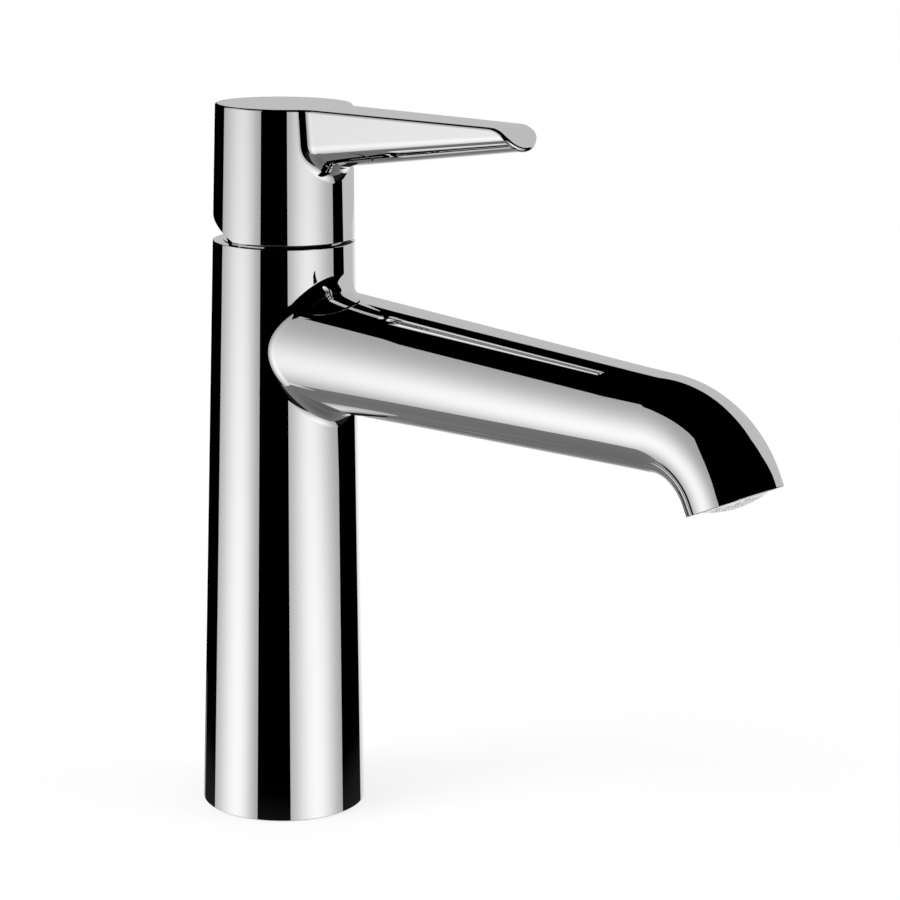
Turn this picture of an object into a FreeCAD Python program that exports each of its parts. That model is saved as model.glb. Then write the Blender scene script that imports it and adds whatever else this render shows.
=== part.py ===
# Single-lever basin mixer: tapered column with a cast spout, a tilting and turning lever,
# a ceramic-disc mixing cartridge and a threaded aerator.
# Millimetres. Origin: centre of the base face on the deck. +Z up, spout and lever along -Y.
import FreeCAD
import Part
import Sketcher
import math
import os
import re

Vector = FreeCAD.Vector
Rotation = FreeCAD.Rotation
X_AXIS = Vector(1, 0, 0)
Y_AXIS = Vector(0, 1, 0)

SIZES = {
    # column
    "base_diameter": 48.0,
    "body_top_diameter": 40.84,
    "overall_height": 207.1,
    "lever_height": 38.0,
    "lever_gap": 1.1,
    "base_wall": 6.5,
    "shelf_thickness": 4.0,
    "shelf_ledge": 2.0,
    "clamp_step": 2.8,
    "clamp_bore_depth": 12.0,
    "gasket_inset": 1.7,
    "gasket_width": 2.9,
    "gasket_thickness": 2.0,
    "stud_hole_diameter": 6.8,
    "stud_hole_depth": 20.0,
    "stud_boss_diameter": 12.0,
    "stud_boss_sink": 1.0,
    "stud_boss_level": 4.0,
    "stud_boss_height": 24.0,
    # spout
    "spout_below_top": 28.83,
    "spout_root_diameter": 36.1,
    "spout_end_diameter": 26.24,
    "spout_drop": 2.05,
    "spout_run": 135.8,
    "spout_fillet": 5.0,
    "bend_radius": 24.5,
    "outlet_angle": 65.5,
    "nozzle_length": 3.0,
    "spout_bore_wall": 4.3,
    "spout_bore_root_diameter": 28.6,
    "spout_bore_end_diameter": 19.4,
    "window_diameter": 12.0,
    "window_reach": 3.0,
    # aerator, M21.5 x 1 concealed size
    "aerator_bore_diameter": 21.5,
    "aerator_bore_depth": 10.0,
    "sleeve_recess": 0.3,
    "sleeve_lip_bore": 18.6,
    "sleeve_lip_height": 3.0,
    "sleeve_bore": 20.0,
    "grid_flange_height": 1.2,
    "grid_bulge": 1.7,
    "grid_cell": 2.1,
    "grid_pitch": 2.5,
    "screen_thickness": 0.5,
    "diffuser_height": 4.2,
    "diffuser_wall": 1.0,
    "diffuser_roof": 1.5,
    "diffuser_hole": 1.6,
    "washer_bore": 16.4,
    "washer_thickness": 1.5,
    # waterway insert
    "insert_height": 26.4,
    "insert_ring_level": 2.5,
    "insert_ring_section": 2.0,
    "insert_ring_groove": 2.6,
    "insert_groove_bottom": 11.5,
    "insert_groove_top": 24.4,
    "insert_groove_depth": 2.1,
    "hose_port_diameter": 9.1,
    "hose_port_depth": 10.0,
    "outlet_depth": 11.4,
    # cartridge
    "cartridge_inner_diameter": 23.6,
    "cartridge_wall": 2.2,
    "cartridge_depth": 31.6,
    "base_flange_height": 3.0,
    "base_height": 6.0,
    "rim_ring_section": 1.8,
    "rim_groove_level": 0.6,
    "rim_groove_width": 1.95,
    "seal_height": 1.5,
    "peg_back": 4.0,
    "peg_diameter": 1.8,
    "peg_height": 1.8,
    "disc_thickness": 3.6,
    "disc_port_step": 0.4,
    "mixing_pocket_depth": 2.0,
    "mixing_pocket_offset": 0.5,
    "disc_film": 0.03,
    "disc_sweep_gap": 0.9,
    "driver_overhang": 0.4,
    "driver_width": 14.0,
    "driver_height": 6.0,
    "driver_floor": 1.0,
    "driver_peg_offset": 6.1,
    "driver_peg_back": 3.0,
    "driver_peg_diameter": 1.6,
    "driver_peg_height": 1.5,
    "ear_gap": 0.37,
    "neck_wall": 0.8,
    "lip_thickness": 2.95,
    "turning_neck_diameter": 19.1,
    "turning_neck_rise": 4.0,
    "slot_width": 7.3,
    "slot_front": 6.4,
    "slot_back": 8.4,
    "pivot_depth": 5.0,
    "pivot_pin_diameter": 3.0,
    "pivot_pin_inset": 0.8,
    "lift_arm": 9.5,
    "lift_range": 25.0,
    "ball_diameter": 4.8,
    "arm_diameter": 3.2,
    "stem_width": 7.0,
    "stem_hold": 9.5,
    "hub_diameter": 8.4,
    "turn_range": 45.0,
    "limiter_wall": 1.05,
    "limiter_height": 2.4,
    "limiter_tab_reach": 12.2,
    "limiter_tab_angle": 24.0,
    "stop_inner_diameter": 21.8,
    "stop_outer_diameter": 25.0,
    "stop_height": 2.6,
    "stop_play": 1.0,
    "nut_height": 10.0,
    "nut_slot_width": 3.0,
    "nut_slot_depth": 2.0,
    "dome_inset": 3.22,
    "dome_wall": 1.2,
    "dome_rise": 5.5,
    "dome_hole_diameter": 20.4,
    # lever
    "cap_wall": 3.0,
    "cap_roof": 4.0,
    "back_cut_start": 0.5,
    "back_cut_angle": 25.0,
    "bar_length": 92.0,
    "bar_root_width": 20.6,
    "bar_root_depth": 19.8,
    "bar_root_flank": 12.0,
    "bar_root_corner": 5.9,
    "bar_tip_width": 15.38,
    "bar_tip_depth": 5.63,
    "bar_tip_flank": 0.7,
    "bar_tip_corner": 3.2,
    "bar_fillet": 5.2,
    "tip_length": 10.0,
    "tip_slope": 35.0,
    "tip_roll": 9.0,
    "socket_rise": 11.4,
    "socket_depth": 10.6,
    "boss_diameter": 15.0,
    "adapter_wall": 1.0,
    "rib_width": 9.0,
    "rib_height": 10.0,
    "screw_rise": 5.0,
    "screw_diameter": 5.0,
    "screw_length": 8.0,
    "screw_key": 2.5,
    "screw_key_depth": 3.0,
    "plug_diameter": 6.6,
    "plug_recess": 0.35,
    "plug_length": 3.9,
    # shared clearances, the overlap of joined solids and the overrun of cutters
    "running_gap": 0.05,
    "seat_gap": 0.1,
    "slide_gap": 0.15,
    "drop_in_gap": 0.2,
    "joint_overlap": 0.2,
    "overcut": 1.0,
}

# Sizes and levels that follow from the ones above, each as an expression
DERIVED = {
    # levels, from the top of the lever down
    "body_height": "overall_height - lever_height - lever_gap",
    "lever_level": "body_height + lever_gap",
    "taper": "(base_diameter - body_top_diameter) / (2 * body_height)",
    "spout_root_level": "body_height - spout_below_top",
    "pivot_level": "body_height - pivot_depth",
    "shoulder_level": "body_height - nut_height",
    "turning_neck_top": "body_height + turning_neck_rise",
    "dome_top": "body_height + dome_rise",
    "seat_level": "body_height - cartridge_depth",
    "shelf_level": "seat_level - insert_height",
    "hose_room_height": "shelf_level - shelf_thickness",
    "window_level": "shelf_level + (insert_groove_bottom + insert_groove_top) / 2",
    "fixed_disc_level": "seat_level + base_height",
    "moving_disc_level": "fixed_disc_level + disc_thickness + disc_film",
    "driver_level": "moving_disc_level + disc_thickness",
    "housing_level": "seat_level + base_flange_height",
    "sleeve_ear_level": "driver_level + ear_gap",
    "socket_level": "lever_level + socket_rise",
    "stem_top": "socket_level + stem_hold",
    "screw_level": "socket_level + screw_rise",
    # base of the column
    "hose_room_diameter": "base_diameter - 2 * base_wall",
    "gasket_outer_diameter": "base_diameter - 2 * gasket_inset",
    "gasket_inner_diameter": "gasket_outer_diameter - 2 * gasket_width",
    "stud_offset": "(hose_room_diameter - stud_boss_diameter) / 2 + stud_boss_sink",
    # diameters that grow with the cartridge
    "cartridge_diameter": "cartridge_inner_diameter + 2 * cartridge_wall",
    "cartridge_bore_diameter": "cartridge_diameter + 2 * drop_in_gap",
    "clamp_bore_diameter": "cartridge_bore_diameter + 2 * clamp_step",
    "shelf_hole_diameter": "cartridge_bore_diameter - 2 * shelf_ledge",
    "spout_bore_start": "cartridge_bore_diameter / 2 + spout_bore_wall",
    "insert_diameter": "cartridge_bore_diameter - 2 * seat_gap",
    "insert_groove_diameter": "insert_diameter - 2 * insert_groove_depth",
    "inlet_offset": "0.2542 * cartridge_inner_diameter",
    "inlet_forward": "0.1271 * cartridge_inner_diameter",
    "inlet_diameter": "0.2542 * cartridge_inner_diameter",
    "outlet_back": "0.2119 * cartridge_inner_diameter",
    "outlet_diameter": "0.2712 * cartridge_inner_diameter",
    "outlet_cross_diameter": "0.85 * outlet_diameter",
    "seal_outer_diameter": "0.36 * cartridge_inner_diameter",
    "seal_inner_diameter": "0.2712 * cartridge_inner_diameter",
    "mixing_pocket_diameter": "0.44 * cartridge_inner_diameter",
    "fixed_disc_diameter": "cartridge_inner_diameter - 2 * drop_in_gap",
    "peg_offset": "fixed_disc_diameter / 2 - peg_diameter",
    "lift_travel": "lift_arm * sin(lift_range)",
    "moving_disc_diameter": "cartridge_inner_diameter - lift_travel - 2 * disc_sweep_gap",
    "driver_diameter": "moving_disc_diameter + 2 * driver_overhang",
    "pivot_pin_length": "cartridge_inner_diameter - 2 * pivot_pin_inset",
    "housing_neck_diameter": "cartridge_inner_diameter + 2 * neck_wall",
    "nut_bore_diameter": "housing_neck_diameter + 2 * drop_in_gap",
    "limiter_outer_diameter": "turning_neck_diameter + 2 * limiter_wall",
    # cover ring, lever and outlet
    "dome_radius": "body_top_diameter / 2 - dome_inset",
    "tip_start": "bar_length - tip_length",
    "adapter_width": "stem_width + 2 * adapter_wall",
    "plug_start": "base_diameter / 2 - taper * screw_level - plug_recess - plug_length",
    "grid_diameter": "sleeve_lip_bore - 2 * running_gap",
    "bend": "outlet_angle - spout_drop",
}

doc = FreeCAD.newDocument("basin_mixer")
parts = {}


def make_sheet():
    sheet = doc.addObject("Spreadsheet::Sheet", "Sizes")
    for row, (name, number) in enumerate(SIZES.items(), start=1):
        sheet.set("A%d" % row, name)
        sheet.set("B%d" % row, str(number))
        sheet.setAlias("B%d" % row, name)
    doc.recompute()
    return sheet


def linked(text):
    """Expression text with derived names written out and size names pointed at the sheet."""

    def spell(word):
        name = word.group()
        if name in DERIVED:
            return "(%s)" % linked(DERIVED[name])
        return "Sizes." + name if name in SIZES else name

    return re.sub(r"[a-z_]+", spell, text)


def body_height():
    return SIZES["overall_height"] - SIZES["lever_height"] - SIZES["lever_gap"]


def wall_radius(level):
    """Radius of the tapered outside at a height above the deck."""
    slope = (SIZES["base_diameter"] - SIZES["body_top_diameter"]) / (2 * body_height())
    return SIZES["base_diameter"] / 2 - slope * level


def bind(item, **links):
    for name, text in links.items():
        item.setExpression(name, linked(text))
    return item


def move(item, x=None, y=None, z=None):
    for axis, text in (("x", x), ("y", y), ("z", z)):
        if text is not None:
            item.setExpression("Placement.Base." + axis, linked(text))
    return item


def turn(item, axis, angle):
    item.Placement.Rotation = Rotation(axis, angle)
    return item


def cylinder(name, diameter, height, x=None, y=None, z=None, along="z"):
    item = doc.addObject("Part::Cylinder", name)
    bind(item, Radius="(%s) / 2" % diameter, Height=height)
    turns = {"x": (Y_AXIS, 90), "y": (X_AXIS, -90), "front": (X_AXIS, 90)}
    if along in turns:
        turn(item, *turns[along])
    return move(item, x, y, z)


def cone(name, start, end, height, y=None, along="z"):
    item = doc.addObject("Part::Cone", name)
    bind(item, Radius1="(%s) / 2" % start, Radius2="(%s) / 2" % end, Height=height)
    if along == "front":
        turn(item, X_AXIS, 90)
    return move(item, None, y)


def block(name, width, depth, height, x, y, z=None):
    item = doc.addObject("Part::Box", name)
    bind(item, Length=width, Width=depth, Height=height)
    return move(item, x, y, z)


def fuse(name, pieces):
    item = doc.addObject("Part::MultiFuse", name)
    item.Shapes = pieces
    return item


def cut(name, base, tools):
    item = doc.addObject("Part::Cut", name)
    item.Base = base
    item.Tool = tools[0] if len(tools) == 1 else fuse(name + "_tools", tools)
    return item


def common(name, pieces):
    item = doc.addObject("Part::MultiCommon", name)
    item.Shapes = pieces
    return item


def keep(item, name, x=None, y=None, z=None):
    """Name a finished sub-part and set it in its place."""
    item.Label = name
    parts[name] = item
    return move(item, x, y, z)


def plane_of(body, role):
    return next(f for f in body.Origin.OriginFeatures if f.Role == role)


def sketch_on(body, name, role, offset=None):
    sketch = body.newObject("Sketcher::SketchObject", name)
    sketch.AttachmentSupport = [(plane_of(body, role), "")]
    sketch.MapMode = "FlatFace"
    if offset is not None:
        sketch.setExpression("AttachmentOffset.Base.z", linked(offset))
    return sketch


def polygon(sketch, points):
    """Closed outline; every corner is dimensioned from the origin."""
    count = len(points)
    rough = [Vector(2 + i, 2 + i * i, 0) for i in range(count)]
    for i in range(count):
        sketch.addGeometry(Part.LineSegment(rough[i], rough[(i + 1) % count]), False)
    for i in range(count):
        sketch.addConstraint(
            Sketcher.Constraint("Coincident", i, 2, (i + 1) % count, 1)
        )
    for i, corner in enumerate(points):
        for kind, axis, text, size in (
            ("DistanceX", -2, corner[0], rough[i].x),
            ("DistanceY", -1, corner[1], rough[i].y),
        ):
            if text == "0":
                sketch.addConstraint(Sketcher.Constraint("PointOnObject", i, 1, axis))
                continue
            index = sketch.addConstraint(Sketcher.Constraint(kind, -1, 1, i, 1, size))
            sketch.renameConstraint(index, "%s_%d" % (kind.lower(), i))
            sketch.setExpression("Constraints.%s_%d" % (kind.lower(), i), linked(text))
    return sketch


def turned(name, points):
    """Body turned about Z from an outline of (radius, height) corners."""
    body = doc.addObject("PartDesign::Body", name)
    sketch = polygon(sketch_on(body, name + "_outline", "XZ_Plane"), points)
    round_up = body.newObject("PartDesign::Revolution", name + "_turning")
    round_up.Profile = sketch
    round_up.ReferenceAxis = (sketch, ["V_Axis"])
    round_up.Angle = 360
    sketch.Visibility = False
    body.Tip = round_up
    return body


def ring(name, inner, outer, height):
    return turned(
        name,
        [
            ("(%s) / 2" % inner, "0"),
            ("(%s) / 2" % outer, "0"),
            ("(%s) / 2" % outer, height),
            ("(%s) / 2" % inner, height),
        ],
    )


def o_ring(name, middle, section):
    item = doc.addObject("Part::Torus", name)
    return bind(item, Radius1="(%s) / 2" % middle, Radius2="(%s) / 2" % section)


def spout_path(name, start, root, end, bore=False):
    """Round spout lying along -Y from the column axis: taper, bend and straight nozzle."""
    straight = cone(
        name + "_taper",
        root,
        end,
        "spout_run - (%s)" % start,
        y="-(%s)" % start,
        along="front",
    )
    bend = doc.addObject("Part::Torus", name + "_bend")
    bind(bend, Radius1="bend_radius", Radius2="(%s) / 2" % end, Angle3="bend")
    bend.Placement.Rotation = Rotation(Vector(0, 0, 1), Vector(0, -1, 0), X_AXIS, "XYZ")
    move(bend, y="-spout_run", z="-bend_radius")
    length = "nozzle_length + overcut" if bore else "nozzle_length"
    nozzle = nozzle_cylinder(name + "_nozzle", end, "0", length)
    pieces = [straight, bend, nozzle]
    if bore:
        pieces.append(
            nozzle_cylinder(
                name + "_aerator_room",
                "aerator_bore_diameter",
                "nozzle_length - aerator_bore_depth",
                "aerator_bore_depth + overcut",
            )
        )
    whole = fuse(name, pieces)
    turn(whole, X_AXIS, SIZES["spout_drop"])
    bind(whole, **{"Placement.Rotation.Angle": "spout_drop"})
    return move(whole, z="spout_root_level")


def nozzle_cylinder(name, diameter, start, length):
    """Cylinder on the nozzle's axis, measured from the end of the bend."""
    item = cylinder(name, diameter, length)
    turn(item, X_AXIS, 90 + SIZES["outlet_angle"] - SIZES["spout_drop"])
    bind(item, **{"Placement.Rotation.Angle": "90 + bend"})
    return move(
        item,
        y="-(spout_run + bend_radius * sin(bend) + (%s) * cos(bend))" % start,
        z="-bend_radius * (1 - cos(bend)) - (%s) * sin(bend)" % start,
    )


def junction_edges(shape):
    """Edges where the spout runs into the column's tapered wall."""
    found = []
    for number, edge in enumerate(shape.Edges, start=1):
        spots = [edge.valueAt(p) for p in edge_samples(edge)]
        on_wall = all(abs(math.hypot(p.x, p.y) - wall_radius(p.z)) < 0.01 for p in spots)
        inside = all(2 < p.z < body_height() - 2 and p.y < -2 for p in spots)
        if on_wall and inside:
            found.append(number)
    return found


def edge_samples(edge):
    first, last = edge.ParameterRange
    return [first + (last - first) * i / 8 for i in range(9)]


def build_body():
    """Cast column with its spout, hose room, shelf, cartridge bore and stud boss."""
    column = turned(
        "column_outside",
        [
            ("0", "0"),
            ("base_diameter / 2", "0"),
            ("body_top_diameter / 2", "body_height"),
            ("0", "body_height"),
        ],
    )
    spout = spout_path("spout_outside", "0", "spout_root_diameter", "spout_end_diameter")
    raw = fuse("column_and_spout", [column, spout])
    doc.recompute()
    blend = doc.addObject("Part::Fillet", "spout_blend")
    blend.Base = raw
    size = SIZES["spout_fillet"]
    blend.Edges = [(number, size, size) for number in junction_edges(raw.Shape)]
    hollow = turned(
        "column_inside",
        [
            ("0", "0"),
            ("hose_room_diameter / 2", "0"),
            ("hose_room_diameter / 2", "hose_room_height"),
            ("shelf_hole_diameter / 2", "hose_room_height"),
            ("shelf_hole_diameter / 2", "shelf_level"),
            ("cartridge_bore_diameter / 2", "shelf_level"),
            ("cartridge_bore_diameter / 2", "body_height - clamp_bore_depth"),
            ("clamp_bore_diameter / 2", "body_height - clamp_bore_depth"),
            ("clamp_bore_diameter / 2", "body_height + overcut"),
            ("0", "body_height + overcut"),
        ],
    )
    groove = ring(
        "gasket_groove",
        "gasket_inner_diameter - 2 * seat_gap",
        "gasket_outer_diameter + 2 * seat_gap",
        "gasket_thickness",
    )
    bore = spout_path(
        "spout_inside",
        "spout_bore_start",
        "spout_bore_root_diameter",
        "spout_bore_end_diameter",
        bore=True,
    )
    window = cylinder(
        "spout_window",
        "window_diameter",
        "spout_bore_start + window_reach",
        z="window_level",
        along="front",
    )
    shell = cut("hollow_casting", blend, [hollow, groove, bore, window])
    boss = cylinder(
        "stud_boss",
        "stud_boss_diameter",
        "stud_boss_height",
        y="stud_offset",
        z="stud_boss_level",
    )
    stud_hole = cylinder(
        "stud_hole",
        "stud_hole_diameter",
        "stud_hole_depth",
        y="stud_offset",
        z="stud_boss_level",
    )
    body = cut("casting", fuse("casting_with_boss", [shell, boss]), [stud_hole])
    keep(body, "body_casting")


def build_base_gasket():
    gasket = ring(
        "gasket", "gasket_inner_diameter", "gasket_outer_diameter", "gasket_thickness"
    )
    keep(gasket, "base_gasket")


def port_places():
    return [
        ("left", "-inlet_offset", "-inlet_forward"),
        ("right", "inlet_offset", "-inlet_forward"),
        ("mixed", None, "outlet_back"),
    ]


def build_waterway_insert():
    """Turned insert that carries the hose ports and the cartridge's seat."""
    radius = "insert_diameter / 2"
    ring_seat = "insert_diameter / 2 - insert_ring_section"
    waist = "insert_groove_diameter / 2"
    height = "insert_height"
    blank = turned(
        "insert_blank",
        [
            ("0", "0"),
            (radius, "0"),
            (radius, "insert_ring_level"),
            (ring_seat, "insert_ring_level"),
            (ring_seat, "insert_ring_level + insert_ring_groove"),
            (radius, "insert_ring_level + insert_ring_groove"),
            (radius, "insert_groove_bottom"),
            (waist, "insert_groove_bottom"),
            (waist, "insert_groove_top"),
            (radius, "insert_groove_top"),
            (radius, height),
            ("0", height),
        ],
    )
    tools = []
    for side, x, y in port_places()[:2]:
        tools.append(cylinder("inlet_" + side, "inlet_diameter", height, x, y))
        tools.append(cylinder("hose_port_" + side, "hose_port_diameter", "hose_port_depth", x, y))
    tools.append(
        cylinder(
            "mixed_drop",
            "outlet_diameter",
            "outlet_depth",
            y="outlet_back",
            z=height + " - outlet_depth",
        )
    )
    tools.append(
        cylinder(
            "mixed_cross",
            "outlet_cross_diameter",
            "insert_diameter",
            y="outlet_back",
            z=height + " - outlet_depth + outlet_diameter / 2",
            along="y",
        )
    )
    keep(cut("insert", blank, tools), "waterway_insert", z="shelf_level")
    seal = o_ring("insert_seal", "insert_diameter - insert_ring_section", "insert_ring_section")
    keep(seal, "insert_o_ring", z="shelf_level + insert_ring_level + insert_ring_section / 2")


def build_cartridge_base():
    """Moulded base with three ports, seal seats on both faces and two pegs for the fixed disc."""
    radius = "cartridge_diameter / 2"
    seat = "cartridge_bore_diameter / 2 - rim_ring_section"
    spigot = "cartridge_inner_diameter / 2 - seat_gap"
    blank = turned(
        "base_blank",
        [
            ("0", "0"),
            (radius, "0"),
            (radius, "rim_groove_level"),
            (seat, "rim_groove_level"),
            (seat, "rim_groove_level + rim_groove_width"),
            (radius, "rim_groove_level + rim_groove_width"),
            (radius, "base_flange_height"),
            (spigot, "base_flange_height"),
            (spigot, "base_height"),
            ("0", "base_height"),
        ],
    )
    tools = []
    lower_seals = []
    upper_seals = []
    seat_width = "seal_outer_diameter + 2 * running_gap"
    for side, x, y in port_places():
        tools.append(cylinder("base_port_" + side, "inlet_diameter", "base_height", x, y))
        tools.append(cylinder("lower_seat_" + side, seat_width, "seal_height", x, y))
        tools.append(
            cylinder("upper_seat_" + side, seat_width, "seal_height", x, y, "base_height - seal_height")
        )
        for group, tag in ((lower_seals, "lower_seal_"), (upper_seals, "upper_seal_")):
            seal = ring(tag + side, "seal_inner_diameter", "seal_outer_diameter", "seal_height")
            group.append(move(seal, x, y))
    pegs = [
        cylinder(
            "disc_peg_" + side,
            "peg_diameter",
            "base_flange_height + peg_height",
            x,
            "peg_back",
            "base_height - base_flange_height",
        )
        for side, x in (("left", "-peg_offset"), ("right", "peg_offset"))
    ]
    base = cut("base_with_ports", fuse("base_with_pegs", [blank] + pegs), tools)
    keep(base, "cartridge_base", z="seat_level")
    rim_seal = o_ring("rim_seal", "cartridge_bore_diameter - rim_ring_section", "rim_ring_section")
    keep(rim_seal, "cartridge_o_ring", z="seat_level + rim_groove_level + rim_groove_width / 2")
    keep(group_of("seals_below", lower_seals), "port_seals", z="seat_level")
    keep(
        group_of("seals_above", upper_seals),
        "disc_seals",
        z="seat_level + base_height - seal_height",
    )


def group_of(name, pieces):
    """Several separate solids kept as one sub-part."""
    item = doc.addObject("Part::Compound", name)
    item.Links = pieces
    return item


def build_discs():
    """Ceramic discs: the fixed one with three ports, the moving one with a blind mixing pocket."""
    blank = cylinder("fixed_blank", "fixed_disc_diameter", "disc_thickness")
    tools = [
        cylinder("disc_port_" + side, "inlet_diameter - 2 * disc_port_step", "disc_thickness", x, y)
        for side, x, y in port_places()
    ]
    for side, x in (("left", "-peg_offset"), ("right", "peg_offset")):
        tools.append(
            cylinder("peg_hole_" + side, "peg_diameter + seat_gap", "disc_thickness", x, "peg_back")
        )
    keep(cut("fixed", blank, tools), "fixed_disc", z="fixed_disc_level")

    blank = cylinder("moving_blank", "moving_disc_diameter", "disc_thickness")
    tools = [
        cylinder("mixing_pocket", "mixing_pocket_diameter", "mixing_pocket_depth", y="mixing_pocket_offset")
    ]
    for side, x in (("left", "-driver_peg_offset"), ("right", "driver_peg_offset")):
        tools.append(
            cylinder(
                "driver_peg_hole_" + side,
                "driver_peg_diameter + seat_gap",
                "driver_peg_height + seat_gap",
                x,
                "driver_peg_back",
                "disc_thickness - driver_peg_height - seat_gap",
            )
        )
    keep(
        cut("moving", blank, tools),
        "moving_disc",
        y="lift_travel / 2",
        z="moving_disc_level",
    )


def build_disc_driver():
    """Carrier that slides the moving disc; the stem's ball sits in its socket."""
    round_part = cylinder("driver_round", "driver_diameter", "driver_height")
    flats = block(
        "driver_flats",
        "driver_width",
        "driver_diameter",
        "driver_height",
        "-driver_width / 2",
        "-driver_diameter / 2",
    )
    pegs = [
        cylinder(
            "driver_peg_" + side,
            "driver_peg_diameter",
            "driver_peg_height + driver_floor",
            x,
            "driver_peg_back",
            "-driver_peg_height",
        )
        for side, x in (("left", "-driver_peg_offset"), ("right", "driver_peg_offset"))
    ]
    blank = fuse("driver_with_pegs", [common("driver_blank", [round_part, flats])] + pegs)
    socket = cylinder(
        "ball_socket",
        "ball_diameter + 2 * drop_in_gap",
        "driver_height",
        y="-lift_travel / 2",
        z="driver_floor",
    )
    keep(cut("driver", blank, [socket]), "disc_driver", y="lift_travel / 2", z="driver_level")


def build_turning_sleeve():
    """Sleeve that turns with the lever, guides the driver between its ears and holds the pin."""
    flange = "cartridge_inner_diameter / 2 - running_gap"
    neck = "turning_neck_diameter / 2"
    flange_top = "(body_height - lip_thickness - running_gap - sleeve_ear_level)"
    top = "(turning_neck_top - sleeve_ear_level)"
    blank = turned(
        "sleeve_blank",
        [("0", "0"), (flange, "0"), (flange, flange_top), (neck, flange_top), (neck, top), ("0", top)],
    )
    room = block(
        "driver_room",
        "driver_width + 2 * slide_gap",
        "cartridge_inner_diameter",
        "driver_height",
        "-driver_width / 2 - slide_gap",
        "-cartridge_inner_diameter / 2",
    )
    slot = block(
        "stem_slot",
        "slot_width",
        "slot_front + slot_back",
        top,
        "-slot_width / 2",
        "-slot_front",
    )
    hole = cylinder(
        "pin_hole",
        "pivot_pin_diameter",
        "cartridge_inner_diameter",
        x="-cartridge_inner_diameter / 2",
        z="pivot_level - sleeve_ear_level",
        along="x",
    )
    keep(cut("sleeve", blank, [room, slot, hole]), "turning_sleeve", z="sleeve_ear_level")
    pin = cylinder("pin", "pivot_pin_diameter", "pivot_pin_length", along="x")
    keep(pin, "pivot_pin", x="-pivot_pin_length / 2", z="pivot_level")


def build_stem():
    """Stem that tilts on the pin: square shaft above, ball arm below."""
    hub = cylinder("stem_hub", "hub_diameter", "stem_width", x="-stem_width / 2", along="x")
    shaft = block(
        "stem_shaft",
        "stem_width",
        "stem_width",
        "stem_top - pivot_level",
        "-stem_width / 2",
        "-stem_width / 2",
    )
    arm = cylinder("stem_arm", "arm_diameter", "lift_arm", z="-lift_arm")
    ball = doc.addObject("Part::Sphere", "stem_ball")
    move(bind(ball, Radius="ball_diameter / 2"), z="-lift_arm")
    bore = cylinder(
        "stem_bore",
        "pivot_pin_diameter + 2 * running_gap",
        "stem_width",
        x="-stem_width / 2",
        along="x",
    )
    stem = cut("stem_blank", fuse("stem_solid", [hub, shaft, arm, ball]), [bore])
    keep(stem, "cartridge_stem", z="pivot_level")


def sector(name, inner, outer, height, angle, start):
    """Part of a ring between two radii, over an angle measured from a start direction."""
    piece = cylinder(name + "_pie", outer, height)
    bind(piece, Angle=angle)
    turn(piece, Vector(0, 0, 1), 45)
    bind(piece, **{"Placement.Rotation.Angle": start})
    return cut(name, piece, [cylinder(name + "_core", inner, height)])


def build_housing():
    """Cartridge housing with its clamping shoulder, lip and the stop rim for the limiter."""
    inner = "cartridge_inner_diameter / 2"
    outer = "cartridge_diameter / 2"
    neck = "housing_neck_diameter / 2"
    lip = "turning_neck_diameter / 2 + running_gap"
    top = "(body_height - housing_level)"
    shoulder = "(shoulder_level - housing_level)"
    blank = turned(
        "housing_blank",
        [
            (inner, "0"),
            (outer, "0"),
            (outer, shoulder),
            (neck, shoulder),
            (neck, top),
            (lip, top),
            (lip, top + " - lip_thickness"),
            (inner, top + " - lip_thickness"),
        ],
    )
    half_gap = "(turn_range + limiter_tab_angle / 2 + stop_play)"
    rim = sector(
        "stop_rim",
        "stop_inner_diameter",
        "stop_outer_diameter",
        "stop_height",
        "360 - 2 * " + half_gap,
        "90 + " + half_gap,
    )
    move(rim, z=top)
    keep(fuse("housing", [blank, rim]), "cartridge_housing", z="housing_level")


def build_limiter_ring():
    """Ring on the sleeve's neck; its tab meets the housing's stop rim at both ends of the turn."""
    band = ring("limiter_band", "turning_neck_diameter", "limiter_outer_diameter", "limiter_height")
    tab = sector(
        "limiter_tab",
        "limiter_outer_diameter - 2 * joint_overlap",
        "2 * limiter_tab_reach",
        "limiter_height",
        "limiter_tab_angle",
        "90 - limiter_tab_angle / 2",
    )
    keep(fuse("limiter", [band, tab]), "limiter_ring", z="body_height + drop_in_gap")


def build_clamp_nut():
    """Threaded ring nut with four key slots that clamps the cartridge."""
    blank = ring("nut_blank", "nut_bore_diameter", "clamp_bore_diameter - 2 * seat_gap", "nut_height")
    tools = []
    for tag, width, depth in (
        ("across", "clamp_bore_diameter", "nut_slot_width"),
        ("along", "nut_slot_width", "clamp_bore_diameter"),
    ):
        tools.append(
            block(
                "nut_slot_" + tag,
                width,
                depth,
                "nut_slot_depth",
                "-(%s) / 2" % width,
                "-(%s) / 2" % depth,
                "nut_height - nut_slot_depth",
            )
        )
    keep(cut("nut", blank, tools), "clamp_nut", z="shoulder_level")


def build_dome_ring():
    """Round-shouldered cover ring that closes the gap under the lever."""
    solids = []
    foot = "pivot_depth"
    for tag, radius, top in (
        ("outer", "dome_radius", "dome_top - pivot_level"),
        ("inner", "dome_radius - dome_wall", "dome_top - dome_wall - pivot_level"),
    ):
        ball = doc.addObject("Part::Sphere", "dome_ball_" + tag)
        bind(ball, Radius=radius)
        slab = cylinder("dome_slab_" + tag, "4 * dome_radius", "(%s) - %s" % (top, foot), z=foot)
        solids.append(common("dome_" + tag, [ball, slab]))
    hole = cylinder("dome_hole", "dome_hole_diameter", "dome_radius", z=foot)
    keep(cut("dome", solids[0], [solids[1], hole]), "dome_ring", z="pivot_level")


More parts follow.
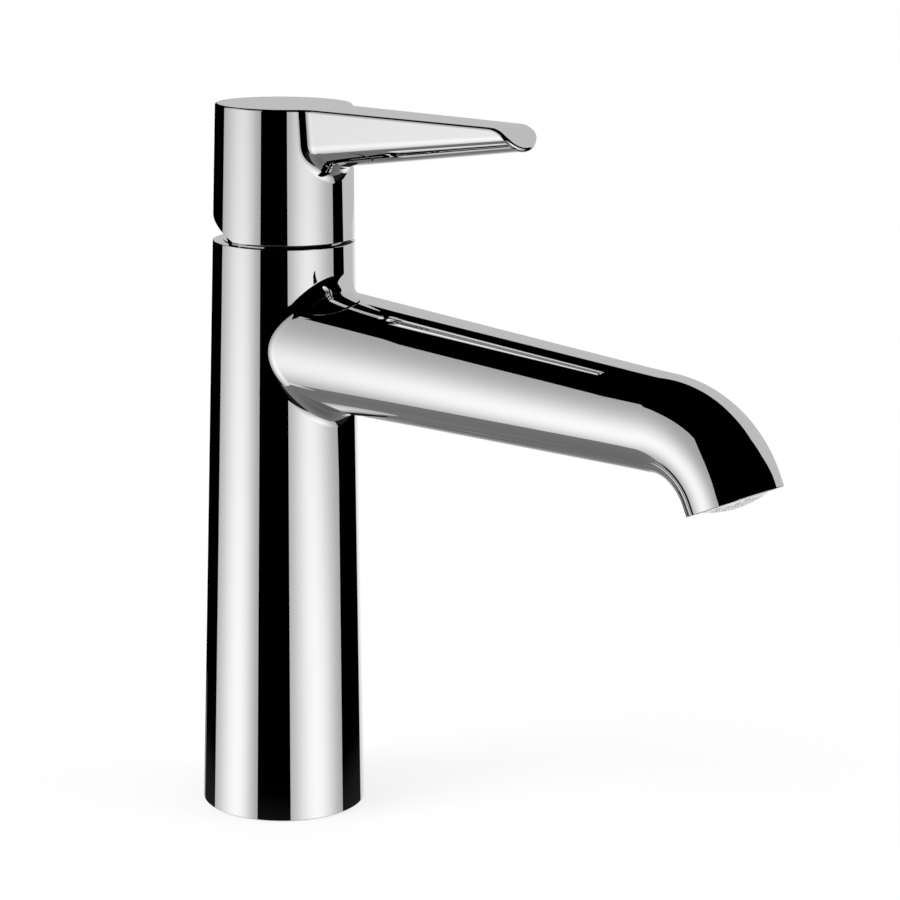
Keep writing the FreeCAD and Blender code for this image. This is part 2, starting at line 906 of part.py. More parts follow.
def arch_section(body, name, offset, place):
    """Bar section: flat top, upright sides and a three-centred rounded underside."""
    wide = SIZES["bar_%s_width" % place] / 2
    deep = SIZES["bar_%s_depth" % place]
    flank = SIZES["bar_%s_flank" % place]
    corner = SIZES["bar_%s_corner" % place]
    top = SIZES["lever_height"]
    rise = deep - flank
    inset = wide - corner
    belly = (inset ** 2 + rise ** 2 - corner ** 2) / (2 * (rise - corner))
    swing = math.atan2(belly - rise, inset)
    sketch = sketch_on(body, name, "XZ_Plane", offset)
    out = Vector(0, 0, 1)
    right = Part.Circle(Vector(inset, top - flank, 0), out, corner)
    left = Part.Circle(Vector(-inset, top - flank, 0), out, corner)
    under = Part.Circle(Vector(0, top - deep + belly, 0), out, belly)
    sketch.addGeometry(
        [
            Part.LineSegment(Vector(-wide, top, 0), Vector(wide, top, 0)),
            Part.LineSegment(Vector(wide, top, 0), Vector(wide, top - flank, 0)),
            Part.ArcOfCircle(right, -swing, 0),
            Part.ArcOfCircle(under, math.pi + swing, 2 * math.pi - swing),
            Part.ArcOfCircle(left, math.pi, math.pi + swing),
            Part.LineSegment(Vector(-wide, top - flank, 0), Vector(-wide, top, 0)),
        ],
        False,
    )
    low = sketch.addGeometry(Part.Point(Vector(0, top - deep, 0)), True)
    rules = [
        ("Coincident", 0, 2, 1, 1),
        ("Coincident", 5, 2, 0, 1),
        ("Vertical", 1),
        ("Vertical", 5),
        ("Tangent", 1, 2, 2, 2),
        ("Tangent", 2, 1, 3, 2),
        ("Tangent", 3, 1, 4, 2),
        ("Tangent", 4, 1, 5, 1),
        ("Symmetric", 0, 1, 0, 2, -2),
        ("Equal", 2, 4),
        ("PointOnObject", 3, 3, -2),
        ("PointOnObject", low, 1, -2),
        ("PointOnObject", low, 1, 3),
    ]
    for rule in rules:
        sketch.addConstraint(Sketcher.Constraint(*rule))
    measures = [
        ("width", ("DistanceX", 0, 1, 0, 2, 2 * wide), "bar_%s_width" % place),
        ("top", ("DistanceY", -1, 1, 0, 1, top), "lever_height"),
        ("flank", ("DistanceY", 1, 2, 1, 1, flank), "bar_%s_flank" % place),
        ("corner", ("Radius", 2, corner), "bar_%s_corner" % place),
        ("under", ("DistanceY", -1, 1, low, 1, top - deep), "lever_height - bar_%s_depth" % place),
    ]
    for tag, rule, text in measures:
        index = sketch.addConstraint(Sketcher.Constraint(*rule))
        sketch.renameConstraint(index, tag)
        sketch.setExpression("Constraints." + tag, linked(text))
    return sketch


def pocket(body, name, sketch, length=None, both=False, reverse=False):
    item = body.newObject("PartDesign::Pocket", name)
    item.Profile = sketch
    item.Reversed = reverse
    if both:
        item.Midplane = True
    bind(item, Length=length)
    body.Tip = item
    return item


def circle_on(body, name, offset, diameter, level):
    sketch = sketch_on(body, name, "XZ_Plane", offset)
    sketch.addGeometry(Part.Circle(Vector(0, 5, 0), Vector(0, 0, 1), 1), False)
    sketch.addConstraint(Sketcher.Constraint("PointOnObject", 0, 3, -2))
    for tag, rule, text in (
        ("level", ("DistanceY", -1, 1, 0, 3, 5.0), level),
        ("size", ("Radius", 0, 1.0), "(%s) / 2" % diameter),
    ):
        index = sketch.addConstraint(Sketcher.Constraint(*rule))
        sketch.renameConstraint(index, tag)
        sketch.setExpression("Constraints." + tag, linked(text))
    return sketch


def bar_root_edges(shape):
    """Edges where the bar runs into the cap's tapered wall."""
    foot = SIZES["lever_gap"] + body_height()
    height = SIZES["lever_height"]
    found = []
    for number, edge in enumerate(shape.Edges, start=1):
        spots = [edge.valueAt(p) for p in edge_samples(edge)]
        on_wall = all(abs(math.hypot(p.x, p.y) - wall_radius(foot + p.z)) < 0.02 for p in spots)
        level = [p.z for p in spots]
        flat = max(level) - min(level) < 0.01 and (min(level) < 0.01 or max(level) > height - 0.01)
        if on_wall and not flat and max(p.y for p in spots) < -5:
            found.append("Edge%d" % number)
    return found


def tip_edges(shape):
    """The straight edge where the bar's flat top turns down to its tip."""
    height = SIZES["lever_height"]
    start = SIZES["bar_length"] - SIZES["tip_length"]
    found = []
    for number, edge in enumerate(shape.Edges, start=1):
        spots = [edge.valueAt(p) for p in edge_samples(edge)]
        at_top = all(abs(p.z - height) < 0.01 for p in spots)
        at_start = all(abs(p.y + start) < 0.01 for p in spots)
        if at_top and at_start:
            found.append("Edge%d" % number)
    return found


def fillet(body, name, base, edges, radius):
    item = body.newObject("PartDesign::Fillet", name)
    item.Base = (base, edges)
    bind(item, Radius=radius)
    body.Tip = item
    return item


def build_lever():
    """Hollow cap that carries on the column's taper, with a flat-topped bar rolling down at its tip."""
    body = doc.addObject("PartDesign::Body", "lever")
    foot = "(base_diameter / 2 - taper * lever_level)"
    crown = "(base_diameter / 2 - taper * overall_height)"
    outline = polygon(
        sketch_on(body, "cap_outline", "XZ_Plane"),
        [("0", "0"), (foot, "0"), (crown, "lever_height"), ("0", "lever_height")],
    )
    cap = body.newObject("PartDesign::Revolution", "cap")
    cap.Profile = outline
    cap.ReferenceAxis = (outline, ["V_Axis"])
    cap.Angle = 360
    root = arch_section(body, "bar_root_section", None, "root")
    tip = arch_section(body, "bar_tip_section", "bar_length", "tip")
    doc.recompute()
    bar = body.newObject("PartDesign::AdditiveLoft", "bar")
    bar.Profile = root
    bar.Sections = [tip]
    bar.Ruled = True
    doc.recompute()
    blend = fillet(body, "bar_blend", bar, bar_root_edges(bar.Shape), "bar_fillet")

    reach = "(bar_length + overcut)"
    drop = "(bar_length + overcut - tip_start) * tan(tip_slope)"
    tip_cut = polygon(
        sketch_on(body, "tip_outline", "YZ_Plane"),
        [
            ("-tip_start", "lever_height"),
            ("-" + reach, "lever_height - " + drop),
            ("-" + reach, "lever_height + overcut"),
            ("-tip_start", "lever_height + overcut"),
        ],
    )
    tip_face = pocket(body, "tip_face", tip_cut, "4 * bar_root_width", both=True)
    doc.recompute()
    fillet(body, "tip_rounding", tip_face, tip_edges(tip_face.Shape), "tip_roll")

    back = "base_diameter"
    back_cut = polygon(
        sketch_on(body, "back_outline", "YZ_Plane"),
        [
            ("back_cut_start", "0"),
            (back, "0"),
            (back, "(%s - back_cut_start) * tan(back_cut_angle)" % back),
        ],
    )
    pocket(body, "back_cut", back_cut, "2 * base_diameter", both=True)

    roof = "lever_height - cap_roof"
    socket = "socket_rise"
    inside = polygon(
        sketch_on(body, "inside_outline", "XZ_Plane"),
        [
            ("0", "0"),
            (foot + " - cap_wall", "0"),
            (crown + " - cap_wall", roof),
            ("boss_diameter / 2", roof),
            ("boss_diameter / 2", socket),
            ("0", socket),
        ],
    )
    hollow = body.newObject("PartDesign::Groove", "inside")
    hollow.Profile = inside
    hollow.ReferenceAxis = (inside, ["V_Axis"])
    hollow.Angle = 360
    body.Tip = hollow

    rib_outline = polygon(
        sketch_on(body, "rib_outline", "XZ_Plane"),
        [
            ("-rib_width / 2", socket),
            ("rib_width / 2", socket),
            ("rib_width / 2", socket + " + rib_height"),
            ("-rib_width / 2", socket + " + rib_height"),
        ],
    )
    rib = body.newObject("PartDesign::Pad", "screw_rib")
    rib.Profile = rib_outline
    rib.Reversed = True
    bind(rib, Length=foot + " - cap_wall + joint_overlap")
    body.Tip = rib

    half = "(adapter_width / 2 + running_gap)"
    socket_outline = polygon(
        sketch_on(body, "socket_outline", "XY_Plane"),
        [("-" + half, "-" + half), (half, "-" + half), (half, half), ("-" + half, half)],
    )
    pocket(body, "stem_socket", socket_outline, socket + " + socket_depth", reverse=True)
    screw = "socket_rise + screw_rise"
    screw_hole = circle_on(body, "screw_outline", None, "screw_diameter", screw)
    pocket(body, "screw_hole", screw_hole, "base_diameter")
    plug_hole = circle_on(body, "plug_outline", "-plug_start", "plug_diameter", screw)
    pocket(body, "plug_hole", plug_hole, "base_diameter")
    keep(body, "lever_handle", z="lever_level")


def build_lever_fixings():
    """Adapter on the stem, grub screw and the plug that hides it at the lever's back."""
    outer = block(
        "adapter_outer",
        "adapter_width",
        "adapter_width",
        "stem_hold",
        "-adapter_width / 2",
        "-adapter_width / 2",
    )
    inner = block(
        "adapter_inner",
        "stem_width",
        "stem_width",
        "stem_hold",
        "-stem_width / 2",
        "-stem_width / 2",
    )
    hole = cylinder(
        "adapter_hole",
        "screw_diameter + 2 * seat_gap",
        "adapter_width",
        z="screw_rise",
        along="y",
    )
    keep(cut("adapter", outer, [inner, hole]), "stem_adapter", z="socket_level")

    shank = cylinder("screw_shank", "screw_diameter - seat_gap", "screw_length", along="y")
    key = doc.addObject("Part::Prism", "screw_key_room")
    key.Polygon = 6
    bind(key, Circumradius="screw_key / sqrt(3)", Height="screw_length")
    turn(key, X_AXIS, -90)
    move(key, y="screw_length - screw_key_depth")
    keep(cut("screw", shank, [key]), "grub_screw", y="stem_width / 2", z="screw_level")

    plug = cylinder("plug", "plug_diameter - seat_gap", "plug_length", along="y")
    keep(plug, "screw_plug", y="plug_start", z="screw_level")


def at_outlet(item, name, lift=None):
    """Set an aerator piece on the outlet: its own +Z runs back into the spout."""
    turn(item, X_AXIS, SIZES["outlet_angle"] - 90)
    bind(item, **{"Placement.Rotation.Angle": "outlet_angle - 90"})
    up = "(%s)" % (lift or "0")
    ahead = "(spout_run + bend_radius * sin(bend) + nozzle_length * cos(bend))"
    below = "(bend_radius * (1 - cos(bend)) + nozzle_length * sin(bend))"
    return keep(
        item,
        name,
        y="-%s * cos(spout_drop) + %s * sin(spout_drop) + %s * cos(outlet_angle)" % (ahead, below, up),
        z="spout_root_level - %s * sin(spout_drop) - %s * cos(spout_drop) + %s * sin(outlet_angle)"
        % (ahead, below, up),
    )


def build_aerator():
    """Concealed aerator: threaded sleeve, domed outlet grid, screen, diffuser and washer."""
    body = "aerator_bore_diameter / 2 - seat_gap"
    height = "(aerator_bore_depth - washer_thickness - sleeve_recess)"
    lip = "(sleeve_lip_height - sleeve_recess)"
    sleeve = turned(
        "sleeve_thread",
        [
            ("sleeve_lip_bore / 2", "0"),
            (body, "0"),
            (body, height),
            ("sleeve_bore / 2", height),
            ("sleeve_bore / 2", lip),
            ("sleeve_lip_bore / 2", lip),
        ],
    )
    at_outlet(sleeve, "aerator_sleeve", "sleeve_recess")

    # outlet grid: a shallow dome below, a flange above, pierced by a honeycomb
    ball_radius = "((grid_diameter ^ 2 / 4 + grid_bulge ^ 2) / (2 * grid_bulge))"
    ball = doc.addObject("Part::Sphere", "grid_ball")
    bind(ball, Radius=ball_radius)
    move(ball, z=ball_radius + " - grid_bulge")
    stock = cylinder(
        "grid_stock", "grid_diameter", "sleeve_lip_height + 2 * grid_bulge", z="-2 * grid_bulge"
    )
    flange = cylinder(
        "grid_flange",
        "sleeve_bore - 2 * running_gap",
        "grid_flange_height",
        z="sleeve_lip_height",
    )
    dome = fuse("grid_solid", [common("grid_dome", [ball, stock]), flange])
    cells = []
    for row in range(-3, 4):
        for column in range(-3, 4):
            if abs(row + column) > 3:
                continue
            cell = doc.addObject("Part::Prism", "grid_cell_%d_%d" % (row + 3, column + 3))
            cell.Polygon = 6
            bind(cell, Circumradius="grid_cell / sqrt(3)", Height="4 * sleeve_lip_height")
            turn(cell, Vector(0, 0, 1), 30)
            move(
                cell,
                "grid_pitch * (%d + %d / 2)" % (column, row),
                "grid_pitch * %d * sqrt(3) / 2" % row,
                "-2 * grid_bulge",
            )
            cells.append(cell)
    at_outlet(cut("grid", dome, [group_of("grid_cells", cells)]), "aerator_grid")

    screen_level = "(sleeve_lip_height + grid_flange_height)"
    mesh = cylinder("screen_disc", "sleeve_bore - 2 * diffuser_wall - 2 * seat_gap", "screen_thickness")
    holes = spaced_holes("screen_hole", "diffuser_hole", "4 * screen_thickness", "-screen_thickness")
    at_outlet(cut("screen", mesh, holes), "aerator_screen", screen_level)

    wall = "(sleeve_bore / 2 - running_gap)"
    cup = turned(
        "diffuser_cup",
        [
            (wall + " - diffuser_wall", "0"),
            (wall, "0"),
            (wall, "diffuser_height"),
            ("0", "diffuser_height"),
            ("0", "diffuser_height - diffuser_roof"),
            (wall + " - diffuser_wall", "diffuser_height - diffuser_roof"),
        ],
    )
    holes = spaced_holes("jet_hole", "diffuser_hole", "2 * diffuser_height", None)
    at_outlet(cut("diffuser", cup, holes), "aerator_diffuser", screen_level)

    washer = ring(
        "washer",
        "washer_bore",
        "aerator_bore_diameter - 2 * seat_gap",
        "washer_thickness",
    )
    at_outlet(washer, "aerator_washer", "aerator_bore_depth - washer_thickness")


def spaced_holes(name, diameter, height, level):
    """Two rings of round holes about the centre."""
    holes = []
    for tag, count, reach in (("inner", 6, 0.18), ("outer", 12, 0.36)):
        for i in range(count):
            turn_by = 360.0 * i / count
            holes.append(
                cylinder(
                    "%s_%s_%d" % (name, tag, i),
                    diameter,
                    height,
                    "%s * sleeve_bore * cos(%s)" % (reach, turn_by),
                    "%s * sleeve_bore * sin(%s)" % (reach, turn_by),
                    level,
                )
            )
    return [group_of(name + "s", holes)]


def check_and_write():
    doc.recompute()
    for item in doc.Objects:
        if "Invalid" in item.State or "Error" in item.State:
            raise RuntimeError("%s did not build: %s" % (item.Label, item.State))
    os.makedirs("parts", exist_ok=True)
    for name, item in parts.items():
        shape = item.Shape
        if shape.isNull() or not shape.isValid() or not shape.Solids:
            raise RuntimeError("%s has no valid solid" % name)
        shape.exportStep("parts/%s.step" % name)


make_sheet()
build_body()
build_base_gasket()
build_waterway_insert()
build_cartridge_base()
build_discs()
build_disc_driver()
build_turning_sleeve()
build_stem()
build_housing()
build_limiter_ring()
build_clamp_nut()
build_dome_ring()
build_lever()
build_lever_fixings()
build_aerator()
check_and_write()
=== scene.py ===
import math

import bpy
import numpy as np
from mathutils import Matrix


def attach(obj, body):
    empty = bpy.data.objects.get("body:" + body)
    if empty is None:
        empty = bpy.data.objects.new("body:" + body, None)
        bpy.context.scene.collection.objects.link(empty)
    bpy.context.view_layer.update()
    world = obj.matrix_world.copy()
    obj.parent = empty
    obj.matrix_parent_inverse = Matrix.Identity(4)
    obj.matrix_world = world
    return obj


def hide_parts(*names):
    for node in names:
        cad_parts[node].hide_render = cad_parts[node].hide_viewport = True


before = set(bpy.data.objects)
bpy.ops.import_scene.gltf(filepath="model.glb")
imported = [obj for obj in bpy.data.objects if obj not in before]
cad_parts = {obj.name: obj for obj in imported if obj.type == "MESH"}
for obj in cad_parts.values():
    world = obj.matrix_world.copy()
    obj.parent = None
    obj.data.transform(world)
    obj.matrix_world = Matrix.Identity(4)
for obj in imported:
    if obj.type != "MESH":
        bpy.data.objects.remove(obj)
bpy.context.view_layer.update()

# Body casting: one chromed brass casting, a tapered column with the spout growing out of it.
# The skin is polished and plated; the bores for hoses, cartridge and aerator are machined
# from below, above and the outlet. It stands on the deck and everything else hangs on it.
BASE_RADIUS = 24.0  # millimetres, as all lengths up to the studio
TOP_RADIUS = 20.42
BODY_TOP = 168.0
TAPER = (BASE_RADIUS - TOP_RADIUS) / BODY_TOP
EDGE, BASE_EDGE, CHAMFER = 0.2, 0.15, 0.4
PATCH_FOOT = 104.0
PATCH_ANGLE = math.radians(104.0)
FRONT_CELLS, BACK_CELLS, SIDE_CELLS, BOSS_CELLS = 128, 96, 40, 64
WALL_ROWS, PANEL_ROWS, BLEND_ROWS, RUN_ROWS, BEND_ROWS = 12, 32, 16, 16, 72
SPOUT_LEVEL = 139.17
SPOUT_DROP = math.radians(2.05)
SPOUT_RUN = 135.8
SPOUT_ROOT, SPOUT_END = 18.05, 13.12
SPOUT_TAPER = (SPOUT_ROOT - SPOUT_END) / SPOUT_RUN
TAPER_EASE = 12.0
BEND_RADIUS = 24.5
BEND_ANGLE = math.radians(63.45)
NOZZLE = 3.0
SPOUT_BLEND = 5.0
ROOT_DROP = 1.5  # middle of the blend's loop, below the spout's axis
ROOT_RANGE = (2.0, 60.0)  # lengths along the axis between which the blend ends
AERATOR_BORE = 10.75
AERATOR_FLOOR = -10.05
NUT_BORE, NUT_LEDGE = 17.0, 156.0
CARTRIDGE_BORE, SHELF_TOP = 14.2, 110.0
SHELF_HOLE, SHELF_FOOT = 12.2, 106.0
HOSE_ROOM = 17.5
GROOVE_INNER, GROOVE_OUTER, GROOVE_DEPTH = 19.3, 22.4, 2.0
STUD_BACK, STUD_HOLE, STUD_END, STUD_POINT = 12.5, 3.4, 23.0, 24.0
BOSS_RADIUS, BOSS_FOOT, BOSS_TOP, BOSS_BEVEL = 6.0, 4.0, 28.0, 1.0
WELD = 2e-3  # points closer than this become one
MILLIMETRE = 0.001


def unit(vectors):
    """Vectors scaled to length one along the last axis."""
    return vectors / np.linalg.norm(vectors, axis=-1, keepdims=True)


def on_taper(angle, level, inset=0.0):
    """Point and normal of the shared taper: radius = base radius - taper * height - inset.
    The angle runs from the spout's direction, -Y, towards +X."""
    angle, level = np.broadcast_arrays(angle, level)
    radius = BASE_RADIUS - TAPER * level - inset
    points = np.stack([radius * np.sin(angle), -radius * np.cos(angle), level], -1)
    normals = np.stack([np.sin(angle), -np.cos(angle), np.full(angle.shape, TAPER)], -1)
    return points, unit(normals)


def above_taper(points):
    """Distance of points outside the tapered wall."""
    gap = np.hypot(points[..., 0], points[..., 1]) - BASE_RADIUS + TAPER * points[..., 2]
    return gap / math.hypot(1, TAPER)


def solve(gap, count, low, high):
    """Where a rising function of one number crosses zero, for a whole row, by halving."""
    low, high = np.full(count, low), np.full(count, high)
    for _ in range(50):
        middle = (low + high) / 2
        over = gap(middle) > 0
        high, low = np.where(over, middle, high), np.where(over, low, middle)
    return (low + high) / 2


def arc_between(first, second, steps):
    """Directions swept evenly from one set of unit vectors to another, rows first."""
    swing = np.arccos(np.clip((first * second).sum(-1, keepdims=True), -1, 1))
    share = np.linspace(0, 1, steps + 1)[:, None, None]
    return (np.sin((1 - share) * swing) * first + np.sin(share * swing) * second) / np.sin(swing)


def turned(corners, angles, centre=(0.0, 0.0)):
    """Flat-sided turning: each pair of (radius, height) corners sweeps one band about an
    upright axis. The metal lies to the left of the outline's direction of travel."""
    bands = []
    for (r0, z0), (r1, z1) in zip(corners, corners[1:]):
        out = np.array([z1 - z0, r0 - r1]) / math.hypot(z1 - z0, r1 - r0)
        radius = np.array([[r0], [r1]]) * np.ones_like(angles)
        level = np.array([[z0], [z1]]) * np.ones_like(angles)
        points = np.stack([radius * np.sin(angles) + centre[0],
                           -radius * np.cos(angles) + centre[1], level], -1)
        normals = np.stack([out[0] * np.sin(angles), -out[0] * np.cos(angles),
                            np.full(angles.shape, out[1])], -1)
        bands.append((points, np.broadcast_to(normals, points.shape)))
    return bands


def rounding(edge_point, first, second, radius, steps=6):
    """Rolled edge: a ball of the given radius inside two faces that meet at edge_point.
    Rows run from the first face's contact line to the second's."""
    together = 1 + (first * second).sum(-1, keepdims=True)
    centre = edge_point - radius * (first + second) / together
    swept = arc_between(first, second, steps)
    return centre + radius * swept, swept


def cells(shape, start=0):
    """Corner numbers of the quads in a grid of points that is numbered row by row."""
    index = start + np.arange(shape[0] * shape[1]).reshape(shape)
    return np.stack([index[:-1, :-1], index[1:, :-1], index[1:, 1:], index[:-1, 1:]], -1)


def linked(name, data):
    """New object in the scene."""
    piece = bpy.data.objects.new(name, data)
    bpy.context.scene.collection.objects.link(piece)
    return piece


def sew(name, *finished):
    """One closed mesh from (patches, material) pairs. A patch is a grid of points in
    millimetres with a normal for each. Shared border points are merged, pinched quads become
    triangles, and every corner keeps the exact normal of its own surface, so that plating
    mirrors cleanly."""
    spots, shades, quads, coats, start = [], [], [], [], 0
    for coat, (points, normals) in [(i, f) for i, pair in enumerate(finished) for f in pair[0]]:
        normals = np.broadcast_to(normals, points.shape)
        ring = cells(points.shape[:2], start)
        start += points.shape[0] * points.shape[1]
        across = points[1:, 1:] - points[:-1, :-1]
        along = points[:-1, 1:] - points[1:, :-1]
        facing = (np.cross(across, along) * normals[:-1, :-1]).sum()
        quads.append((ring if facing > 0 else ring[..., ::-1]).reshape(-1, 4))
        coats.append(np.full(len(quads[-1]), coat, np.int32))
        spots.append(points.reshape(-1, 3))
        shades.append(normals.reshape(-1, 3))
    spots, shades, quads = np.concatenate(spots), np.concatenate(shades), np.concatenate(quads)
    coats = np.concatenate(coats)
    keys, merged = np.unique(np.round(spots / WELD).astype(np.int64), axis=0, return_inverse=True)
    merged = merged.reshape(-1)
    corners = merged[quads]
    kept = corners != np.roll(corners, 1, axis=1)
    counts = kept.sum(1)
    solid = (counts > 2) & (corners[:, 0] != corners[:, 2]) & (corners[:, 1] != corners[:, 3])
    kept, counts, corners, quads = kept[solid], counts[solid], corners[solid], quads[solid]
    coats = coats[solid]
    place = np.zeros((len(keys), 3))
    place[merged] = spots
    mesh = bpy.data.meshes.new(name)
    mesh.vertices.add(len(place))
    mesh.vertices.foreach_set("co", (place * MILLIMETRE).ravel())
    mesh.loops.add(int(counts.sum()))
    mesh.loops.foreach_set("vertex_index", corners[kept].astype(np.int32))
    mesh.polygons.add(len(counts))
    mesh.polygons.foreach_set("loop_start", (np.cumsum(counts) - counts).astype(np.int32))
    mesh.polygons.foreach_set("use_smooth", np.ones(len(counts), bool))
    mesh.polygons.foreach_set("material_index", coats)
    mesh.update(calc_edges=True)
    mesh.normals_split_custom_set(shades[quads[kept]])
    for _, material in finished:
        mesh.materials.append(material)
    return linked(name, mesh)


def spout_frame(along):
    """Axis point, forward and upward directions of the spout at a length along its axis:
    straight run, circular bend downwards, straight nozzle."""
    ahead = np.array([0, -math.cos(SPOUT_DROP), -math.sin(SPOUT_DROP)])
    above = np.array([0, -math.sin(SPOUT_DROP), math.cos(SPOUT_DROP)])
    turn = np.clip((along - SPOUT_RUN) / BEND_RADIUS, 0, BEND_ANGLE)[..., None]
    forward = np.cos(turn) * ahead - np.sin(turn) * above
    upward = np.sin(turn) * ahead + np.cos(turn) * above
    straight = along[..., None] - turn * BEND_RADIUS
    first = np.minimum(straight, SPOUT_RUN)
    last = straight - first
    axis = np.array([0, 0, SPOUT_LEVEL]) + first * ahead + last * forward
    axis = axis + BEND_RADIUS * (np.sin(turn) * ahead - (1 - np.cos(turn)) * above)
    return axis, forward, upward


def spout_skin(along, around):
    """Round spout skin: radius falls evenly along the run and eases to the nozzle's radius
    at the bend. The angle runs from +X over the top."""
    along, around = np.broadcast_arrays(along, around)
    axis, forward, upward = spout_frame(along)
    left = SPOUT_RUN - along
    eased = np.clip(left + TAPER_EASE, 0, 2 * TAPER_EASE) ** 2 / (4 * TAPER_EASE)
    radius = SPOUT_END + SPOUT_TAPER * np.where(left > TAPER_EASE, left, eased)
    slope = SPOUT_TAPER * np.clip((left + TAPER_EASE) / (2 * TAPER_EASE), 0, 1)
    out = np.cos(around)[..., None] * np.array([1.0, 0, 0]) + np.sin(around)[..., None] * upward
    return axis + radius[..., None] * out, unit(out + slope[..., None] * forward)


def casting_patches():
    """All faces of the casting: column bands, the spout with its rolling-ball blend, the
    outlet with its bore, and the turned hollow inside."""
    front = np.linspace(-PATCH_ANGLE, PATCH_ANGLE, FRONT_CELLS + 1)
    back = np.linspace(PATCH_ANGLE, 2 * math.pi - PATCH_ANGLE, BACK_CELLS + 1)
    ring = np.concatenate([front, back[1:]])
    patches = []
    # rolled edges at the deck and at the top of the column
    corner, wall = on_taper(ring, 0.0)
    low, swept = rounding(corner, np.array([0, 0, -1.0]) + 0 * wall, wall, BASE_EDGE)
    patches.append((low, swept))
    foot = low[-1, 0, 2]
    corner, wall = on_taper(ring, BODY_TOP)
    high, swept = rounding(corner, wall, np.array([0, 0, 1.0]) + 0 * wall, EDGE)
    patches.append((high, swept))
    head = high[0, 0, 2]
    # plain wall below the spout and behind it
    patches.append(on_taper(ring[None, :], np.linspace(foot, PATCH_FOOT, WALL_ROWS + 1)[:, None]))
    rows = np.linspace(PATCH_FOOT, head, SIDE_CELLS + 1)
    patches.append(on_taper(back[None, :], rows[:, None]))
    # border of the front panel, counter-clockwise from its lower left corner
    border = np.concatenate([
        np.stack([front[:-1], np.full(FRONT_CELLS, PATCH_FOOT)], -1),
        np.stack([np.full(SIDE_CELLS, PATCH_ANGLE), rows[:-1]], -1),
        np.stack([front[:0:-1], np.full(FRONT_CELLS, head)], -1),
        np.stack([np.full(SIDE_CELLS, -PATCH_ANGLE), rows[:0:-1]], -1),
    ])
    border = np.concatenate([border, border[:1]])
    around = np.arctan2(border[:, 1] - SPOUT_LEVEL + ROOT_DROP, border[:, 0] * TOP_RADIUS)
    # blend: a ball rolling between the spout and the column
    def lift(along):
        """Centre of the ball where it touches the spout."""
        points, normals = spout_skin(along, around)
        return points + SPOUT_BLEND * normals

    root = solve(lambda s: above_taper(lift(s)) - SPOUT_BLEND, len(around), *ROOT_RANGE)
    balls = lift(root)
    spout_out = spout_skin(root, around)[1]
    column_out = unit(np.stack([balls[:, 0], balls[:, 1],
                                TAPER * np.hypot(balls[:, 0], balls[:, 1])], -1))
    swept = arc_between(column_out, spout_out, BLEND_ROWS)
    patches.append((balls - SPOUT_BLEND * swept, swept))
    touch = balls - SPOUT_BLEND * column_out
    loop = np.stack([np.arctan2(touch[:, 0], -touch[:, 1]), touch[:, 2]], -1)
    share = np.linspace(0, 1, PANEL_ROWS + 1)[:, None, None]
    panel = loop * (1 - share) + border * share
    patches.append(on_taper(panel[..., 0], panel[..., 1]))
    # spout skin from the blend to the outlet
    finish = SPOUT_RUN + BEND_RADIUS * BEND_ANGLE + NOZZLE
    share = np.linspace(0, 1, RUN_ROWS + 1)[:, None]
    straight = root * (1 - share) + (SPOUT_RUN - TAPER_EASE) * share
    patches.append(spout_skin(straight, around[None, :]))
    bend = np.linspace(SPOUT_RUN - TAPER_EASE, finish - EDGE, BEND_ROWS + 1)
    patches.append(spout_skin(bend[:, None], around[None, :]))
    # rolled outlet rim, then its face, the aerator's bore and the bore's floor
    axis, forward, upward = spout_frame(np.array(finish))
    out = np.cos(around)[:, None] * np.array([1.0, 0, 0]) + np.sin(around)[:, None] * upward
    ahead = forward + 0 * out
    patches.append(rounding(axis + SPOUT_END * out, out, ahead, EDGE))
    inner = [(SPOUT_END - EDGE, 0.0), (AERATOR_BORE + EDGE, 0.0), (AERATOR_BORE, -EDGE),
             (AERATOR_BORE, AERATOR_FLOOR), (0.0, AERATOR_FLOOR)]
    for (r0, d0), (r1, d1) in zip(inner, inner[1:]):
        run = np.array([d0 - d1, r1 - r0]) / math.hypot(d1 - d0, r1 - r0)
        face = -run[0] * out - run[1] * ahead
        edge = np.stack([axis + r0 * out + d0 * ahead, axis + r1 * out + d1 * ahead])
        patches.append((edge, np.broadcast_to(face, edge.shape)))
    # turned hollow from the top ring down to the deck
    top_inner = float(np.hypot(*high[-1, 0, :2]))
    base_outer = float(np.hypot(*low[0, 0, :2]))
    patches += turned([(top_inner, BODY_TOP), (NUT_BORE + CHAMFER, BODY_TOP)], ring)
    hollow = turned([
        (NUT_BORE + CHAMFER, BODY_TOP), (NUT_BORE, BODY_TOP - CHAMFER), (NUT_BORE, NUT_LEDGE),
        (CARTRIDGE_BORE, NUT_LEDGE), (CARTRIDGE_BORE, SHELF_TOP), (SHELF_HOLE, SHELF_TOP),
        (SHELF_HOLE, SHELF_FOOT), (HOSE_ROOM, SHELF_FOOT), (HOSE_ROOM, CHAMFER),
        (HOSE_ROOM + CHAMFER, 0.0), (GROOVE_INNER, 0.0), (GROOVE_INNER, GROOVE_DEPTH),
        (GROOVE_OUTER, GROOVE_DEPTH), (GROOVE_OUTER, 0.0), (base_outer, 0.0)], ring)
    # threaded boss for the fixing stud, sunk into the hose room's wall
    hollow += turned([
        (0.0, STUD_POINT), (STUD_HOLE, STUD_END), (STUD_HOLE, BOSS_FOOT + CHAMFER),
        (STUD_HOLE + CHAMFER, BOSS_FOOT), (BOSS_RADIUS - CHAMFER, BOSS_FOOT),
        (BOSS_RADIUS, BOSS_FOOT + CHAMFER), (BOSS_RADIUS, BOSS_TOP - BOSS_BEVEL),
        (BOSS_RADIUS - BOSS_BEVEL, BOSS_TOP), (0.0, BOSS_TOP)],
        np.linspace(0, 2 * math.pi, BOSS_CELLS + 1), (0.0, STUD_BACK))
    return patches, hollow


